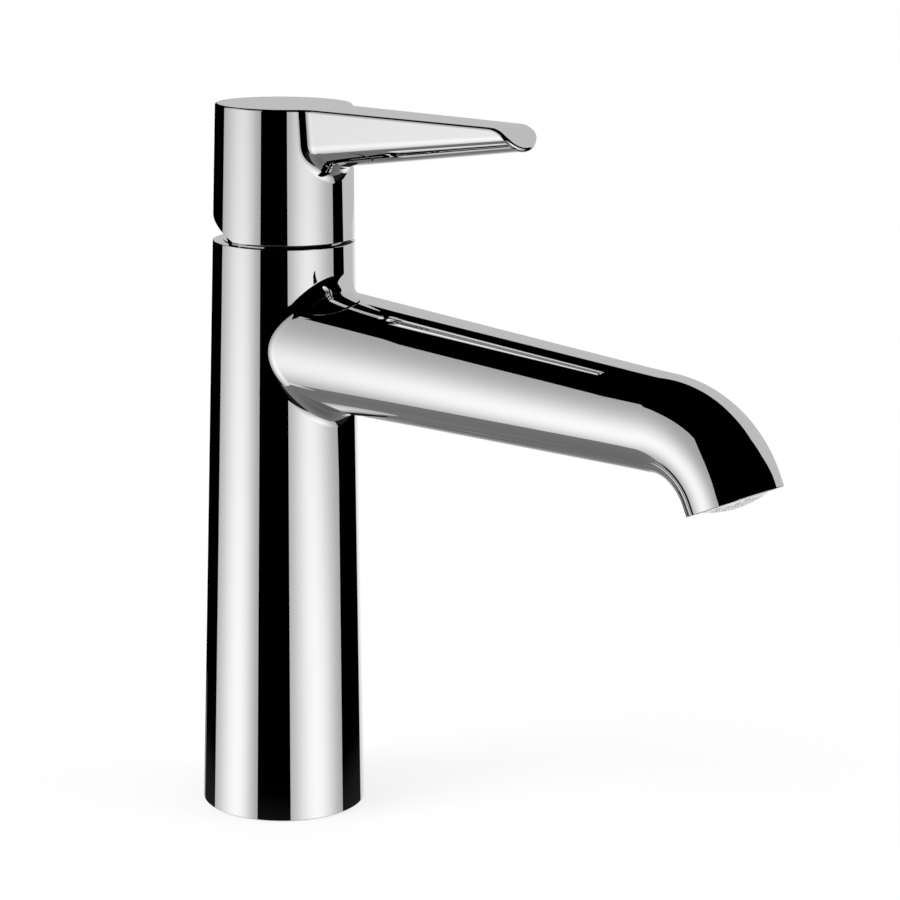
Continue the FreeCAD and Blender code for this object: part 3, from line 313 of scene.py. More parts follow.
def group(name, inputs, outputs):
    """Empty shader node group with named value or colour sockets."""
    tree = bpy.data.node_groups.new(name, "ShaderNodeTree")
    for title, start in inputs:
        socket = tree.interface.new_socket(title, in_out="INPUT", socket_type="NodeSocketFloat")
        socket.default_value = start
    for title, kind in outputs:
        tree.interface.new_socket(title, in_out="OUTPUT", socket_type=kind)
    return tree, tree.nodes.new("NodeGroupInput"), tree.nodes.new("NodeGroupOutput")


def add(tree, kind, links=None, **settings):
    """Node with its settings; links maps an input's name or number to a socket or value."""
    node = tree.nodes.new(kind)
    for key, value in settings.items():
        setattr(node, key, value)
    for key, value in (links or {}).items():
        if isinstance(value, bpy.types.NodeSocket):
            tree.links.new(value, node.inputs[key])
        else:
            node.inputs[key].default_value = value
    return node


def make_polish():
    """Hand polish under plating: broad faint haze, fine wipe marks and a slow ripple."""
    tree, given, put = group("hand_polish", [("Haze", 0.02), ("Spread", 0.02)],
                             [("Roughness", "NodeSocketFloat"), ("Height", "NodeSocketFloat")])
    place = add(tree, "ShaderNodeTexCoord").outputs["Object"]
    broad = add(tree, "ShaderNodeTexNoise", {"Vector": place, "Scale": 38.0, "Detail": 4.0,
                                             "Roughness": 0.55})
    stretch = add(tree, "ShaderNodeMapping", {"Vector": place, "Scale": (900.0, 900.0, 60.0)})
    wipe = add(tree, "ShaderNodeTexNoise", {"Vector": stretch.outputs[0], "Scale": 1.0,
                                            "Detail": 2.0})
    mixed = add(tree, "ShaderNodeMath", {0: broad.outputs["Fac"], 1: wipe.outputs["Fac"]},
                operation="MULTIPLY")
    rough = add(tree, "ShaderNodeMath", {0: mixed.outputs[0], 1: given.outputs["Spread"],
                                         2: given.outputs["Haze"]}, operation="MULTIPLY_ADD")
    ripple = add(tree, "ShaderNodeTexNoise", {"Vector": place, "Scale": 90.0, "Detail": 1.0})
    tree.links.new(rough.outputs[0], put.inputs["Roughness"])
    tree.links.new(ripple.outputs["Fac"], put.inputs["Height"])
    return tree


polish = make_polish()


def chrome(name, tint, haze=0.008, spread=0.02, ripple=5e-8):
    """Bright chrome plating over the hand polish."""
    material = bpy.data.materials.new(name)
    material.use_nodes = True
    tree = material.node_tree
    shader = tree.nodes["Principled BSDF"]
    shader.inputs["Base Color"].default_value = (*tint, 1)
    shader.inputs["Metallic"].default_value = 1.0
    finish = add(tree, "ShaderNodeGroup", node_tree=polish)
    finish.inputs["Haze"].default_value = haze
    finish.inputs["Spread"].default_value = spread
    bump = add(tree, "ShaderNodeBump", {"Height": finish.outputs["Height"], "Strength": 1.0,
                                        "Distance": ripple})
    tree.links.new(finish.outputs["Roughness"], shader.inputs["Roughness"])
    tree.links.new(bump.outputs[0], shader.inputs["Normal"])
    return material


def make_lathe():
    """Lathe marks: fine rings that change with the radius and the height alone, over a slow
    mottle of the metal's colour."""
    tree, given, put = group("lathe_marks", [("Rings", 2500.0), ("Smooth", 0.2), ("Spread", 0.2)],
                             [("Tone", "NodeSocketFloat"), ("Roughness", "NodeSocketFloat"),
                              ("Height", "NodeSocketFloat")])
    place = add(tree, "ShaderNodeTexCoord").outputs["Object"]
    split = add(tree, "ShaderNodeSeparateXYZ", {0: place})
    flat = add(tree, "ShaderNodeCombineXYZ", {0: split.outputs[0], 1: split.outputs[1]})
    radius = add(tree, "ShaderNodeVectorMath", {0: flat.outputs[0]}, operation="LENGTH")
    line = add(tree, "ShaderNodeCombineXYZ", {0: radius.outputs["Value"], 2: split.outputs[2]})
    rings = add(tree, "ShaderNodeTexNoise", {"Vector": line.outputs[0], "Detail": 3.0,
                                             "Scale": given.outputs["Rings"]})
    mottle = add(tree, "ShaderNodeTexNoise", {"Vector": place, "Scale": 140.0, "Detail": 5.0})
    rough = add(tree, "ShaderNodeMath", {0: rings.outputs["Fac"], 1: given.outputs["Spread"],
                                         2: given.outputs["Smooth"]}, operation="MULTIPLY_ADD")
    tree.links.new(mottle.outputs["Fac"], put.inputs["Tone"])
    tree.links.new(rough.outputs[0], put.inputs["Roughness"])
    tree.links.new(rings.outputs["Fac"], put.inputs["Height"])
    return tree


lathe_marks = make_lathe()


def coated(name, effect, values, light, dark, metallic, bump):
    """Material whose colour runs between two shades with an effect's tone, and whose gloss and
    bump follow the same effect."""
    material = bpy.data.materials.new(name)
    material.use_nodes = True
    tree = material.node_tree
    shader = tree.nodes["Principled BSDF"]
    shader.inputs["Metallic"].default_value = metallic
    marks = add(tree, "ShaderNodeGroup", node_tree=effect)
    for title, value in values.items():
        marks.inputs[title].default_value = value
    colour = add(tree, "ShaderNodeMix", {"Factor": marks.outputs["Tone"]}, data_type="RGBA")
    colour.inputs["A"].default_value, colour.inputs["B"].default_value = (*dark, 1), (*light, 1)
    relief = add(tree, "ShaderNodeBump", {"Height": marks.outputs["Height"], "Strength": 1.0,
                                          "Distance": bump})
    tree.links.new(colour.outputs["Result"], shader.inputs["Base Color"])
    tree.links.new(marks.outputs["Roughness"], shader.inputs["Roughness"])
    tree.links.new(relief.outputs[0], shader.inputs["Normal"])
    return material


bare_brass = coated(
    "bare_brass", lathe_marks, {"Rings": 1800.0, "Smooth": 0.22, "Spread": 0.25},
    light=(0.72, 0.53, 0.26), dark=(0.55, 0.39, 0.18), metallic=1.0, bump=4e-6)
CHROME_TINT = (0.935, 0.935, 0.935)
body_chrome = chrome("polished_chrome", CHROME_TINT)
casting_skin, casting_hollow = casting_patches()
casting = sew("body_casting_skin", (casting_skin, body_chrome), (casting_hollow, bare_brass))
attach(casting, "fixed")
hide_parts("body_casting")

# Base gasket: moulded rubber ring pressed into the groove of the foot, which seals the column
# against the deck.


def make_grain():
    """Grain of moulded and cast surfaces: fine pits, a soft bloom and slow changes of tone."""
    tree, given, put = group("moulded_grain", [("Scale", 1500.0), ("Smooth", 0.4), ("Spread", 0.2)],
                             [("Tone", "NodeSocketFloat"), ("Roughness", "NodeSocketFloat"),
                              ("Height", "NodeSocketFloat")])
    place = add(tree, "ShaderNodeTexCoord").outputs["Object"]
    pits = add(tree, "ShaderNodeTexNoise", {"Vector": place, "Scale": given.outputs["Scale"],
                                            "Detail": 6.0, "Roughness": 0.6})
    bloom = add(tree, "ShaderNodeTexNoise", {"Vector": place, "Scale": 110.0, "Detail": 4.0})
    tone = add(tree, "ShaderNodeMapRange", {"Value": bloom.outputs["Fac"], "From Min": 0.3,
                                            "From Max": 0.7})
    rough = add(tree, "ShaderNodeMath", {0: bloom.outputs["Fac"], 1: given.outputs["Spread"],
                                         2: given.outputs["Smooth"]}, operation="MULTIPLY_ADD")
    tree.links.new(tone.outputs[0], put.inputs["Tone"])
    tree.links.new(rough.outputs[0], put.inputs["Roughness"])
    tree.links.new(pits.outputs["Fac"], put.inputs["Height"])
    return tree


moulded_grain = make_grain()


def dress(material, *nodes):
    """Puts a material on carried-over solids."""
    for name in nodes:
        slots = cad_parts[name].data.materials
        slots.clear()
        slots.append(material)


gasket_rubber = coated(
    "gasket_rubber", moulded_grain, {"Scale": 2600.0, "Smooth": 0.5, "Spread": 0.25},
    light=(0.045, 0.045, 0.046), dark=(0.028, 0.028, 0.028), metallic=0.0, bump=2e-5)
dress(gasket_rubber, "base_gasket")

# Waterway insert: turned brass block with the two hose threads and the channels up to the
# cartridge, held in the column by its seal ring.
insert_brass = coated(
    "insert_brass", lathe_marks, {"Rings": 2400.0, "Smooth": 0.18, "Spread": 0.22},
    light=(0.76, 0.57, 0.28), dark=(0.62, 0.45, 0.21), metallic=1.0, bump=3e-6)
seal_rubber = coated(
    "seal_rubber", moulded_grain, {"Scale": 3200.0, "Smooth": 0.42, "Spread": 0.2},
    light=(0.04, 0.04, 0.041), dark=(0.026, 0.026, 0.026), metallic=0.0, bump=1e-5)
dress(insert_brass, "waterway_insert")
dress(seal_rubber, "insert_o_ring")

# Cartridge: the mixing valve. A moulded base and housing hold two lapped ceramic discs; the
# driver moves the upper disc as the steel stem turns and tips on its pin, and the red ring
# limits the turn to the hot side.
housing_white = coated(
    "white_plastic", moulded_grain, {"Scale": 2200.0, "Smooth": 0.34, "Spread": 0.18},
    light=(0.78, 0.78, 0.75), dark=(0.70, 0.70, 0.67), metallic=0.0, bump=8e-6)
driver_grey = coated(
    "grey_plastic", moulded_grain, {"Scale": 2200.0, "Smooth": 0.36, "Spread": 0.18},
    light=(0.16, 0.165, 0.17), dark=(0.12, 0.125, 0.13), metallic=0.0, bump=8e-6)
limiter_red = coated(
    "limiter_plastic", moulded_grain, {"Scale": 2200.0, "Smooth": 0.36, "Spread": 0.18},
    light=(0.47, 0.03, 0.022), dark=(0.37, 0.02, 0.016), metallic=0.0, bump=8e-6)
disc_ceramic = coated(
    "disc_ceramic", moulded_grain, {"Scale": 5200.0, "Smooth": 0.1, "Spread": 0.12},
    light=(0.83, 0.83, 0.79), dark=(0.77, 0.77, 0.73), metallic=0.0, bump=1e-6)
stem_steel = coated(
    "stem_steel", lathe_marks, {"Rings": 3800.0, "Smooth": 0.22, "Spread": 0.2},
    light=(0.60, 0.60, 0.61), dark=(0.48, 0.48, 0.49), metallic=1.0, bump=2e-6)
pin_steel = coated(
    "pin_steel", lathe_marks, {"Rings": 5200.0, "Smooth": 0.14, "Spread": 0.16},
    light=(0.60, 0.60, 0.61), dark=(0.52, 0.52, 0.53), metallic=1.0, bump=1e-6)
dress(housing_white, "cartridge_base", "cartridge_housing")
dress(driver_grey, "disc_driver", "turning_sleeve")
dress(limiter_red, "limiter_ring")
dress(disc_ceramic, "fixed_disc", "moving_disc")
dress(seal_rubber, "port_seals", "disc_seals", "cartridge_o_ring")
dress(stem_steel, "cartridge_stem")
dress(pin_steel, "pivot_pin")

# Clamp nut and dome ring: the brass nut presses the cartridge down from the top of the
# column; over it snaps a thin chromed cover, a zone of a sphere about the stem's pivot, which
# stays under the lever's cap as it tilts.
nut_brass = coated(
    "nut_brass", lathe_marks, {"Rings": 2600.0, "Smooth": 0.18, "Spread": 0.2},
    light=(0.76, 0.58, 0.29), dark=(0.63, 0.46, 0.22), metallic=1.0, bump=3e-6)
dress(nut_brass, "clamp_nut")
PIVOT_LEVEL = 163.0
DOME_RADIUS, DOME_WALL = 17.2, 1.2
DOME_FOOT, DOME_TOP, DOME_HOLE = 168.0, 173.5, 10.2
DOME_SKIRT, DOME_LIP = 17.3, 0.2
HOLE_CHAMFER = 0.3
DOME_CELLS, DOME_ROWS = 128, 16


def zone(radius, low, high, angles, facing):
    """Zone of a sphere about the pivot between two heights: r = sqrt(R^2 - z^2), with the
    normal along the radius, outwards or inwards."""
    ends = [math.asin((level - PIVOT_LEVEL) / radius) for level in (low, high)]
    tilt = np.linspace(*ends, DOME_ROWS + 1)[:, None]
    out = np.stack([np.cos(tilt) * np.sin(angles), -np.cos(tilt) * np.cos(angles),
                    np.sin(tilt) + 0 * angles], -1)
    return np.array([0, 0, PIVOT_LEVEL]) + radius * out, facing * out


def dome_patches():
    """Cover ring: outer zone on a thin skirt, flat top with its hole, underside, inner zone."""
    angles = np.linspace(0, 2 * math.pi, DOME_CELLS + 1)
    inside = DOME_RADIUS - DOME_WALL
    under = DOME_TOP - DOME_WALL
    lip = DOME_FOOT + DOME_LIP

    def on_sphere(radius, level):
        """Corner of an outline at a height on a sphere about the pivot."""
        return math.sqrt(radius ** 2 - (level - PIVOT_LEVEL) ** 2), level

    patches = [zone(DOME_RADIUS, lip, DOME_TOP, angles, 1),
               zone(inside, DOME_FOOT, under, angles, -1)]
    patches += turned([on_sphere(DOME_RADIUS, DOME_TOP), (DOME_HOLE + HOLE_CHAMFER, DOME_TOP),
                       (DOME_HOLE, DOME_TOP - HOLE_CHAMFER), (DOME_HOLE, under),
                       on_sphere(inside, under)], angles)
    patches += turned([on_sphere(inside, DOME_FOOT), (DOME_SKIRT, DOME_FOOT), (DOME_SKIRT, lip),
                       on_sphere(DOME_RADIUS, lip)], angles)
    return patches


dome_chrome = chrome("dome_chrome", CHROME_TINT, haze=0.03, spread=0.04)
dome = sew("dome_ring_skin", (dome_patches(), dome_chrome))
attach(dome, "fixed")
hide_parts("dome_ring")

# Lever: zinc casting in the same chrome. A hollow cap carries on the column's taper, its
# back is cut away for the tilt, and a flat-topped bar runs forward and rolls down at its
# tip. A square socket under the roof sits on the cartridge stem.
LEVER_FOOT = 169.1
LEVER_TOP = 207.1
BAR_LENGTH = 92.0
BAR_LEAN = 0.039  # radians, the draft of the flanks
BAR_ROOT = dict(wide=10.41, deep=19.8, flank=12.08, corner=5.95, lean=BAR_LEAN)
BAR_TIP = dict(wide=6.98, deep=5.92, flank=1.0, corner=3.2, lean=BAR_LEAN)
BAR_BLEND = 5.2
TIP_START, TIP_SLOPE, TIP_ROLL = 85.15, math.radians(59.0), 7.37
ROLL_START = TIP_START - TIP_ROLL * math.tan(TIP_SLOPE / 2)
BACK_START, BACK_SLOPE = 0.5, math.radians(25.0)
FLANK_ROWS, CORNER_ROWS, BELLY_ROWS, BAR_ROWS = 13, 40, 44, 84
CAP_ROWS, HALF_BACK, PLUG_ROWS, ROLL_ROWS = 28, 48, 40, 7
BLEND_RANGE, END_RANGE = (2.0, 50.0), (60.0, BAR_LENGTH)
CAP_WALL, CAP_ROOF = 3.0, 203.1
PLUG_LEVEL, PLUG_HOLE, PLUG_FLOOR = 185.5, 3.3, 15.6
PLUG_CROWDING = 1.15  # power that draws the rows of the back panel towards the hole
SOCKET_BOSS, SOCKET_FOOT, SOCKET_HALF, SOCKET_ROOF = 7.5, 180.5, 4.55, 191.1
CAP_EDGE, BAR_EDGE, SOLE_EDGE = 0.6, 0.92, 0.12
CREASE = 0.02  # height over which the sole's normal turns at the cut line
HAIR = 1e-7  # keeps the level top from counting as the bar's end


def bar_section(wide, deep, flank, corner, lean):
    """Right half of a bar section from the top edge to the middle of the underside: flank
    leaning in downwards, corner arc and belly arc, each with its rate of change along the
    outline."""
    draft = math.tan(lean)
    inset = wide - flank * draft - corner * math.cos(lean)
    rise = deep - flank + corner * math.sin(lean)
    belly = (inset ** 2 + rise ** 2 - corner ** 2) / (2 * (rise - corner))
    swing = math.atan2(belly - rise, inset)
    depth = np.linspace(BAR_EDGE * (1 + BAR_LEAN), flank, FLANK_ROWS + 1)
    side = np.stack([wide - depth * draft, LEVER_TOP - depth], -1)
    side_rate = np.stack([0 * depth - draft, 0 * depth - 1], -1) * (flank - depth[0])
    runs = [(side, side_rate)]
    for centre, radius, first, last, rows in (
        ((inset, LEVER_TOP - deep + rise), corner, -lean, -swing, CORNER_ROWS),
        ((0.0, LEVER_TOP - deep + belly), belly, -swing, -math.pi / 2, BELLY_ROWS),
    ):
        a = np.linspace(first, last, rows + 1)[1:]
        runs.append((np.array(centre) + radius * np.stack([np.cos(a), np.sin(a)], -1),
                     radius * (last - first) * np.stack([-np.sin(a), np.cos(a)], -1)))
    return np.concatenate([r[0] for r in runs]), np.concatenate([r[1] for r in runs])


root_line, root_rate = bar_section(**BAR_ROOT)
tip_line, tip_rate = bar_section(**BAR_TIP)


def bar_skin(forward):
    """Straight lines from the root section to the tip section; the normal is the cross
    product of the outline's and the line's directions."""
    share = (forward / BAR_LENGTH)[..., None]
    line = root_line * (1 - share) + tip_line * share
    rate = root_rate * (1 - share) + tip_rate * share
    lean = (tip_line - root_line) / BAR_LENGTH
    points = np.stack([line[..., 0], -forward, line[..., 1]], -1)
    across = rate[..., 0] * lean[..., 1] - rate[..., 1] * lean[..., 0]
    return points, unit(np.stack([-rate[..., 1], across, rate[..., 0]], -1))


def top_sheet(points):
    """Depth below the lever's upper face and that face's normal: level, then a roll of
    constant radius, then the tip's slope."""
    ahead, above = -points[..., 1] - ROLL_START, points[..., 2] - LEVER_TOP + TIP_ROLL
    turn = np.clip(np.arctan2(ahead, above), 0, TIP_SLOPE)
    normals = np.stack([0 * turn, -np.sin(turn), np.cos(turn)], -1)
    return TIP_ROLL - ahead * np.sin(turn) - above * np.cos(turn), normals


def lever_patches():
    """Faces of the lever's right half and their mirror image, the whole back panel, and apart
    from them the unplated sole and hollow, whose dark colour is painted shade."""
    count = len(root_line)
    # root of the bar: a ball rolling between the bar and the cap
    def lift(forward):
        """Centre of the ball where it touches the bar."""
        points, normals = bar_skin(forward)
        return points + BAR_BLEND * normals

    root = solve(lambda t: above_taper(lift(t)) - BAR_BLEND, count, *BLEND_RANGE)
    balls, bar_out = lift(root), bar_skin(root)[1]
    cap_out = unit(np.stack([balls[:, 0], balls[:, 1],
                             TAPER * np.hypot(balls[:, 0], balls[:, 1])], -1))
    blend_out = arc_between(cap_out, bar_out, BLEND_ROWS)
    blend = balls - BAR_BLEND * blend_out
    blend_edge = np.linspace(CAP_EDGE, BAR_EDGE, BLEND_ROWS + 1)
    blend[:, 0, 2] = LEVER_TOP - blend_edge * (1 - blend_out[:, 0, 2])
    # end of the bar: where the rolled edge of the upper face touches the skin
    def spare(forward):
        """How far the rolled edge's touch lies above the upper face."""
        points, normals = bar_skin(forward)
        depth, up = top_sheet(points)
        return BAR_EDGE * (1 - (normals * up).sum(-1)) - depth - HAIR

    end = solve(spare, count, *END_RANGE)
    share = np.linspace(0, 1, BAR_ROWS + 1)[:, None]
    bar, bar_normals = bar_skin(root * (1 - share) + end * share)
    bar[:-1, 0, 2] = LEVER_TOP - BAR_EDGE * (1 - bar_normals[:-1, 0, 2])
    # front panel of the cap, from the blend's foot to the cut line, the sole and the top
    crease = math.acos(-BACK_START / (BASE_RADIUS - TAPER * LEVER_FOOT))
    sole = np.linspace(crease, 0, count - SIDE_CELLS)
    sole_back = np.linspace(crease, 2 * math.pi - crease, 2 * HALF_BACK + 1)
    tilt = np.array([0, math.sin(BACK_SLOPE), -math.cos(BACK_SLOPE)])

    def sole_edge(angles):
        """Sharp lower edge of the cap: level in front, sloping up behind the cut line."""
        swing = np.cos(angles) * math.tan(BACK_SLOPE)
        behind = LEVER_FOOT - BASE_RADIUS * swing - BACK_START * math.tan(BACK_SLOPE)
        behind = behind / (1 - TAPER * swing)
        points, out = on_taper(angles, np.maximum(behind, LEVER_FOOT))
        lean = np.clip((behind - LEVER_FOOT) / CREASE + 0.5, 0, 1)[..., None]
        down = unit(np.array([0, 0, -1.0]) * (1 - lean) + tilt * lean)
        return points, out, down

    def on_wall(points):
        """Angle and height of points on the tapered wall."""
        angle = np.mod(np.arctan2(points[:, 0], -points[:, 1]), 2 * math.pi)
        return np.stack([angle, points[:, 2]], -1)

    def sole_touch(angles):
        """Rolled lower edge, with its first row on the tapered wall."""
        points, out, down = sole_edge(angles)
        points, normals = rounding(points, out, down, SOLE_EDGE)
        points[0] = on_taper(*on_wall(points[0]).T)[0]
        return points, normals

    def sole_line(angles):
        """Where the rolled lower edge leaves the wall."""
        return on_wall(sole_touch(angles)[0][0])

    head = LEVER_TOP - CAP_EDGE * (1 - TAPER / math.hypot(1, TAPER))
    rows = np.linspace(head, sole_line(np.array([crease]))[0, 1], SIDE_CELLS + 1)
    side = np.stack([np.full(SIDE_CELLS + 1, crease), rows], -1)
    border = np.concatenate([side[:-1], sole_line(sole)])
    loop = on_wall(blend[0])
    blend[0] = on_taper(*loop.T)[0]
    share = np.linspace(0, 1, CAP_ROWS + 1)[:, None, None]
    panel = loop * (1 - share) + border * share
    front = on_taper(panel[..., 0], panel[..., 1])
    # upper outline of the right half: tip, flank, blend, cap front, cap back
    crown = on_taper(sole_back[:HALF_BACK + 1], np.full(HALF_BACK + 1, head))
    outline = np.concatenate([bar[-1, ::-1], bar[-2::-1, 0], blend[-2::-1, 0], front[0][1:, 0],
                              crown[0][1:]])
    outward = np.concatenate([bar_normals[-1, ::-1], bar_normals[-2::-1, 0], blend_out[-2::-1, 0],
                              front[1][1:, 0], crown[1][1:]])
    edge = np.concatenate([np.full(count + BAR_ROWS, BAR_EDGE), blend_edge[-2::-1],
                           np.full(CAP_ROWS + HALF_BACK, CAP_EDGE)])[:, None]
    upward = top_sheet(outline - edge * outward)[1]
    swept = arc_between(outward, upward, ROLL_ROWS)
    rolled = outline - edge * outward + edge * swept
    rim = rolled[-1]
    halves = [(bar, bar_normals), (blend, blend_out), front, (rolled, swept),
              (np.stack([rim, rim * (0, 1, 1)]), np.stack([upward, upward])), sole_touch(sole)]
    flip = np.array([-1.0, 1, 1])
    patches = halves + [(points * flip, normals * flip) for points, normals in halves]
    # back panel around the hole for the screw's plug
    border = np.concatenate([
        sole_line(sole_back),
        np.stack([np.full(SIDE_CELLS - 1, 2 * math.pi - crease), rows[-2:0:-1]], -1),
        np.stack([sole_back[:0:-1], np.full(2 * HALF_BACK, head)], -1),
        np.stack([np.full(SIDE_CELLS, crease), rows[:-1]], -1),
    ])
    border = np.concatenate([border, border[:1]])
    turn = np.arctan2(border[:, 1] - PLUG_LEVEL, -(border[:, 0] - math.pi) * TOP_RADIUS)
    hole = np.stack([PLUG_HOLE * np.cos(turn), PLUG_LEVEL + PLUG_HOLE * np.sin(turn)], -1)
    reach = np.sqrt((BASE_RADIUS - TAPER * hole[:, 1]) ** 2 - hole[:, 0] ** 2)
    loop = np.stack([np.mod(np.arctan2(hole[:, 0], -reach), 2 * math.pi), hole[:, 1]], -1)
    share = np.linspace(0, 1, PLUG_ROWS + 1)[:, None, None] ** PLUG_CROWDING
    panel = loop * (1 - share) + border * share
    patches.append(on_taper(panel[..., 0], panel[..., 1]))
    patches.append(sole_touch(sole_back))
    lip = np.stack([hole[:, 0], reach, hole[:, 1]], -1)
    floor = np.stack([hole[:, 0], 0 * reach + PLUG_FLOOR, hole[:, 1]], -1)
    inward = np.stack([-np.cos(turn), 0 * turn, -np.sin(turn)], -1)
    patches.append((np.stack([lip, floor]), np.stack([inward, inward])))
    middle = 0 * floor + np.array([0, PLUG_FLOOR, PLUG_LEVEL])
    patches.append((np.stack([floor, middle]), np.zeros((2, 1, 3)) + np.array([0, 1.0, 0])))
    # unplated: flat sole, hollow, roof, boss and the square socket about the column's axis;
    # their dark zinc colour is painted shade that keeps the gap under the cap black
    angles = np.concatenate([-sole[:-1], sole[::-1], sole_back[1:]])
    edge, out, down = sole_edge(angles)
    start = sole_touch(angles)[0][-1]
    inner = on_taper(angles, edge[:, 2], CAP_WALL)[0]
    inner[:, 2] = LEVER_FOOT + np.maximum(inner[:, 1] - BACK_START, 0) * math.tan(BACK_SLOPE)
    inner = on_taper(angles, inner[:, 2], CAP_WALL)[0]
    hollow = [(np.stack([start, inner]), np.stack([down, down]))]
    roof = on_taper(angles, np.full(len(angles), CAP_ROOF), CAP_WALL)[0]
    hollow.append((np.stack([inner, roof]), np.stack([-out, -out])))
    square = SOCKET_HALF / np.maximum(np.abs(np.cos(angles)), np.abs(np.sin(angles)))
    flat_out, level_down = unit(out * (1, 1, 0)), np.array([0, 0, -1.0]) + 0 * out
    last = roof
    for radius, level, facing in (
        (SOCKET_BOSS, CAP_ROOF, level_down), (SOCKET_BOSS, SOCKET_FOOT, flat_out),
        (square, SOCKET_FOOT, level_down), (square, SOCKET_ROOF, -flat_out),
        (0.0, SOCKET_ROOF, level_down),
    ):
        turn = np.stack([radius * np.sin(angles), -radius * np.cos(angles),
                         level + 0 * angles], -1)
        hollow.append((np.stack([last, turn]), np.stack([facing, facing])))
        last = turn
    return patches, hollow


lever_chrome = chrome("lever_chrome", CHROME_TINT)
# unplated zinc, darkened far below bare zinc as painted shade for the sole and the hollow inside
# the cap
zinc_painted_shade = coated(
    "zinc_painted_shade", moulded_grain, {"Scale": 1400.0, "Smooth": 0.5, "Spread": 0.2},
    light=(0.16, 0.16, 0.165), dark=(0.10, 0.10, 0.105), metallic=1.0, bump=3e-5)
lever_skin, lever_hollow = lever_patches()
lever = sew("lever_handle_skin", (lever_skin, lever_chrome), (lever_hollow, zinc_painted_shade))
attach(lever, "lever")
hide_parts("lever_handle")

# Lever fixing: a plastic adapter takes up the play between the square stem and the socket, a
# stainless grub screw bites on the stem from behind, and a moulded plug closes its hole.
screw_steel = coated(
    "screw_steel", lathe_marks, {"Rings": 4200.0, "Smooth": 0.2, "Spread": 0.2},
    light=(0.58, 0.58, 0.59), dark=(0.46, 0.46, 0.47), metallic=1.0, bump=2e-6)
plug_plastic = coated(
    "plug_plastic", moulded_grain, {"Scale": 2600.0, "Smooth": 0.16, "Spread": 0.12},
    light=(0.36, 0.365, 0.37), dark=(0.30, 0.305, 0.31), metallic=0.0, bump=3e-6)
dress(driver_grey, "stem_adapter")
dress(screw_steel, "grub_screw")
dress(plug_plastic, "screw_plug")

# Aerator: a chromed sleeve screwed into the outlet, and in it the moulded grid that shows
# from below, a perforated steel screen, the diffuser and the rubber washer they seal against.
sleeve_chrome = chrome("sleeve_chrome", CHROME_TINT, haze=0.03, spread=0.05)
grid_plastic = coated(
    "grid_plastic", moulded_grain, {"Scale": 2600.0, "Smooth": 0.22, "Spread": 0.12},
    light=(0.86, 0.865, 0.87), dark=(0.80, 0.805, 0.81), metallic=0.0, bump=3e-6)
screen_steel = coated(
    "screen_steel", lathe_marks, {"Rings": 3000.0, "Smooth": 0.24, "Spread": 0.2},
    light=(0.60, 0.60, 0.61), dark=(0.50, 0.50, 0.51), metallic=1.0, bump=2e-6)
dress(sleeve_chrome, "aerator_sleeve")
dress(grid_plastic, "aerator_grid")
dress(screen_steel, "aerator_screen")
dress(housing_white, "aerator_diffuser")
dress(seal_rubber, "aerator_washer")

# Studio: a pale floor that keeps the shadow, and around it the soft boxes, grey card and dark
# tent that a plated tap is photographed in. The cards are there for the metal alone: the
# camera looks past them at the white background.
TOWARDS_CAMERA = np.array([-0.76703, -0.64164, 0.0])
TO_THE_RIGHT = np.array([0.64395, -0.76507, 0.0])
UPWARDS = np.array([0, 0, 1.0])
CARD_CELLS = 32
BOX_RIGHT, BOX_FOOT, BOX_TOP = -0.774, -0.72, 0.97
GROUND = -0.78


def bare_tree(owner):
    """Emptied node tree of a material or a world."""
    owner.use_nodes = True
    owner.node_tree.nodes.clear()
    return owner.node_tree


def sheet(name, points):
    """Mesh on a grid of points in metres, and the empty tree of its own material."""
    mesh = bpy.data.meshes.new(name)
    faces = cells(points.shape[:2]).reshape(-1, 4)
    mesh.from_pydata(points.reshape(-1, 3).tolist(), [], faces.tolist())
    material = bpy.data.materials.new(name)
    mesh.materials.append(material)
    return mesh, bare_tree(material)


def glowing(name, points, glow):
    """Grid of points that gives off its own glow to mirrors alone, read from an attribute."""
    mesh, tree = sheet(name, points)
    shade = mesh.attributes.new("glow", "FLOAT", "POINT")
    shade.data.foreach_set("value", glow.ravel().astype(np.float32))
    read = add(tree, "ShaderNodeAttribute", attribute_name="glow")
    light = add(tree, "ShaderNodeEmission", {"Color": read.outputs["Fac"]})
    add(tree, "ShaderNodeOutputMaterial", {"Surface": light.outputs[0]})
    piece = linked(name, mesh)
    for ray in ("camera", "diffuse", "shadow", "transmission", "volume_scatter"):
        setattr(piece, "visible_" + ray, False)


def in_studio(places):
    """Points of the scene from (right, near, up) as the camera sees them, in metres."""
    level = places[..., :1] * TO_THE_RIGHT + places[..., 1:2] * TOWARDS_CAMERA
    return level + places[..., 2:] * UPWARDS


def card(name, first, last, peak, edge, centre=(0.5, 0.5), falloff=(1.0, 1.0)):
    """Card ruled between two edges, each a row of (right, near, up) points in metres. Its glow
    falls from the peak to the edge value as exp(-distance^2) from the centre, in shares of the
    card's width and height."""
    shares = np.linspace(0, 1, CARD_CELLS + 1)
    u, v = np.meshgrid(shares, shares, indexing="ij")
    sides = []
    for row in (np.array(first, float), np.array(last, float)):
        share = np.linspace(0, 1, len(row))
        sides.append(np.stack([np.interp(v, share, row[:, axis]) for axis in range(3)], -1))
    places = sides[0] * (1 - u[..., None]) + sides[1] * u[..., None]
    away = ((u - centre[0]) / falloff[0]) ** 2 + ((v - centre[1]) / falloff[1]) ** 2
    glowing(name, in_studio(places), edge + (peak - edge) * np.exp(-away))


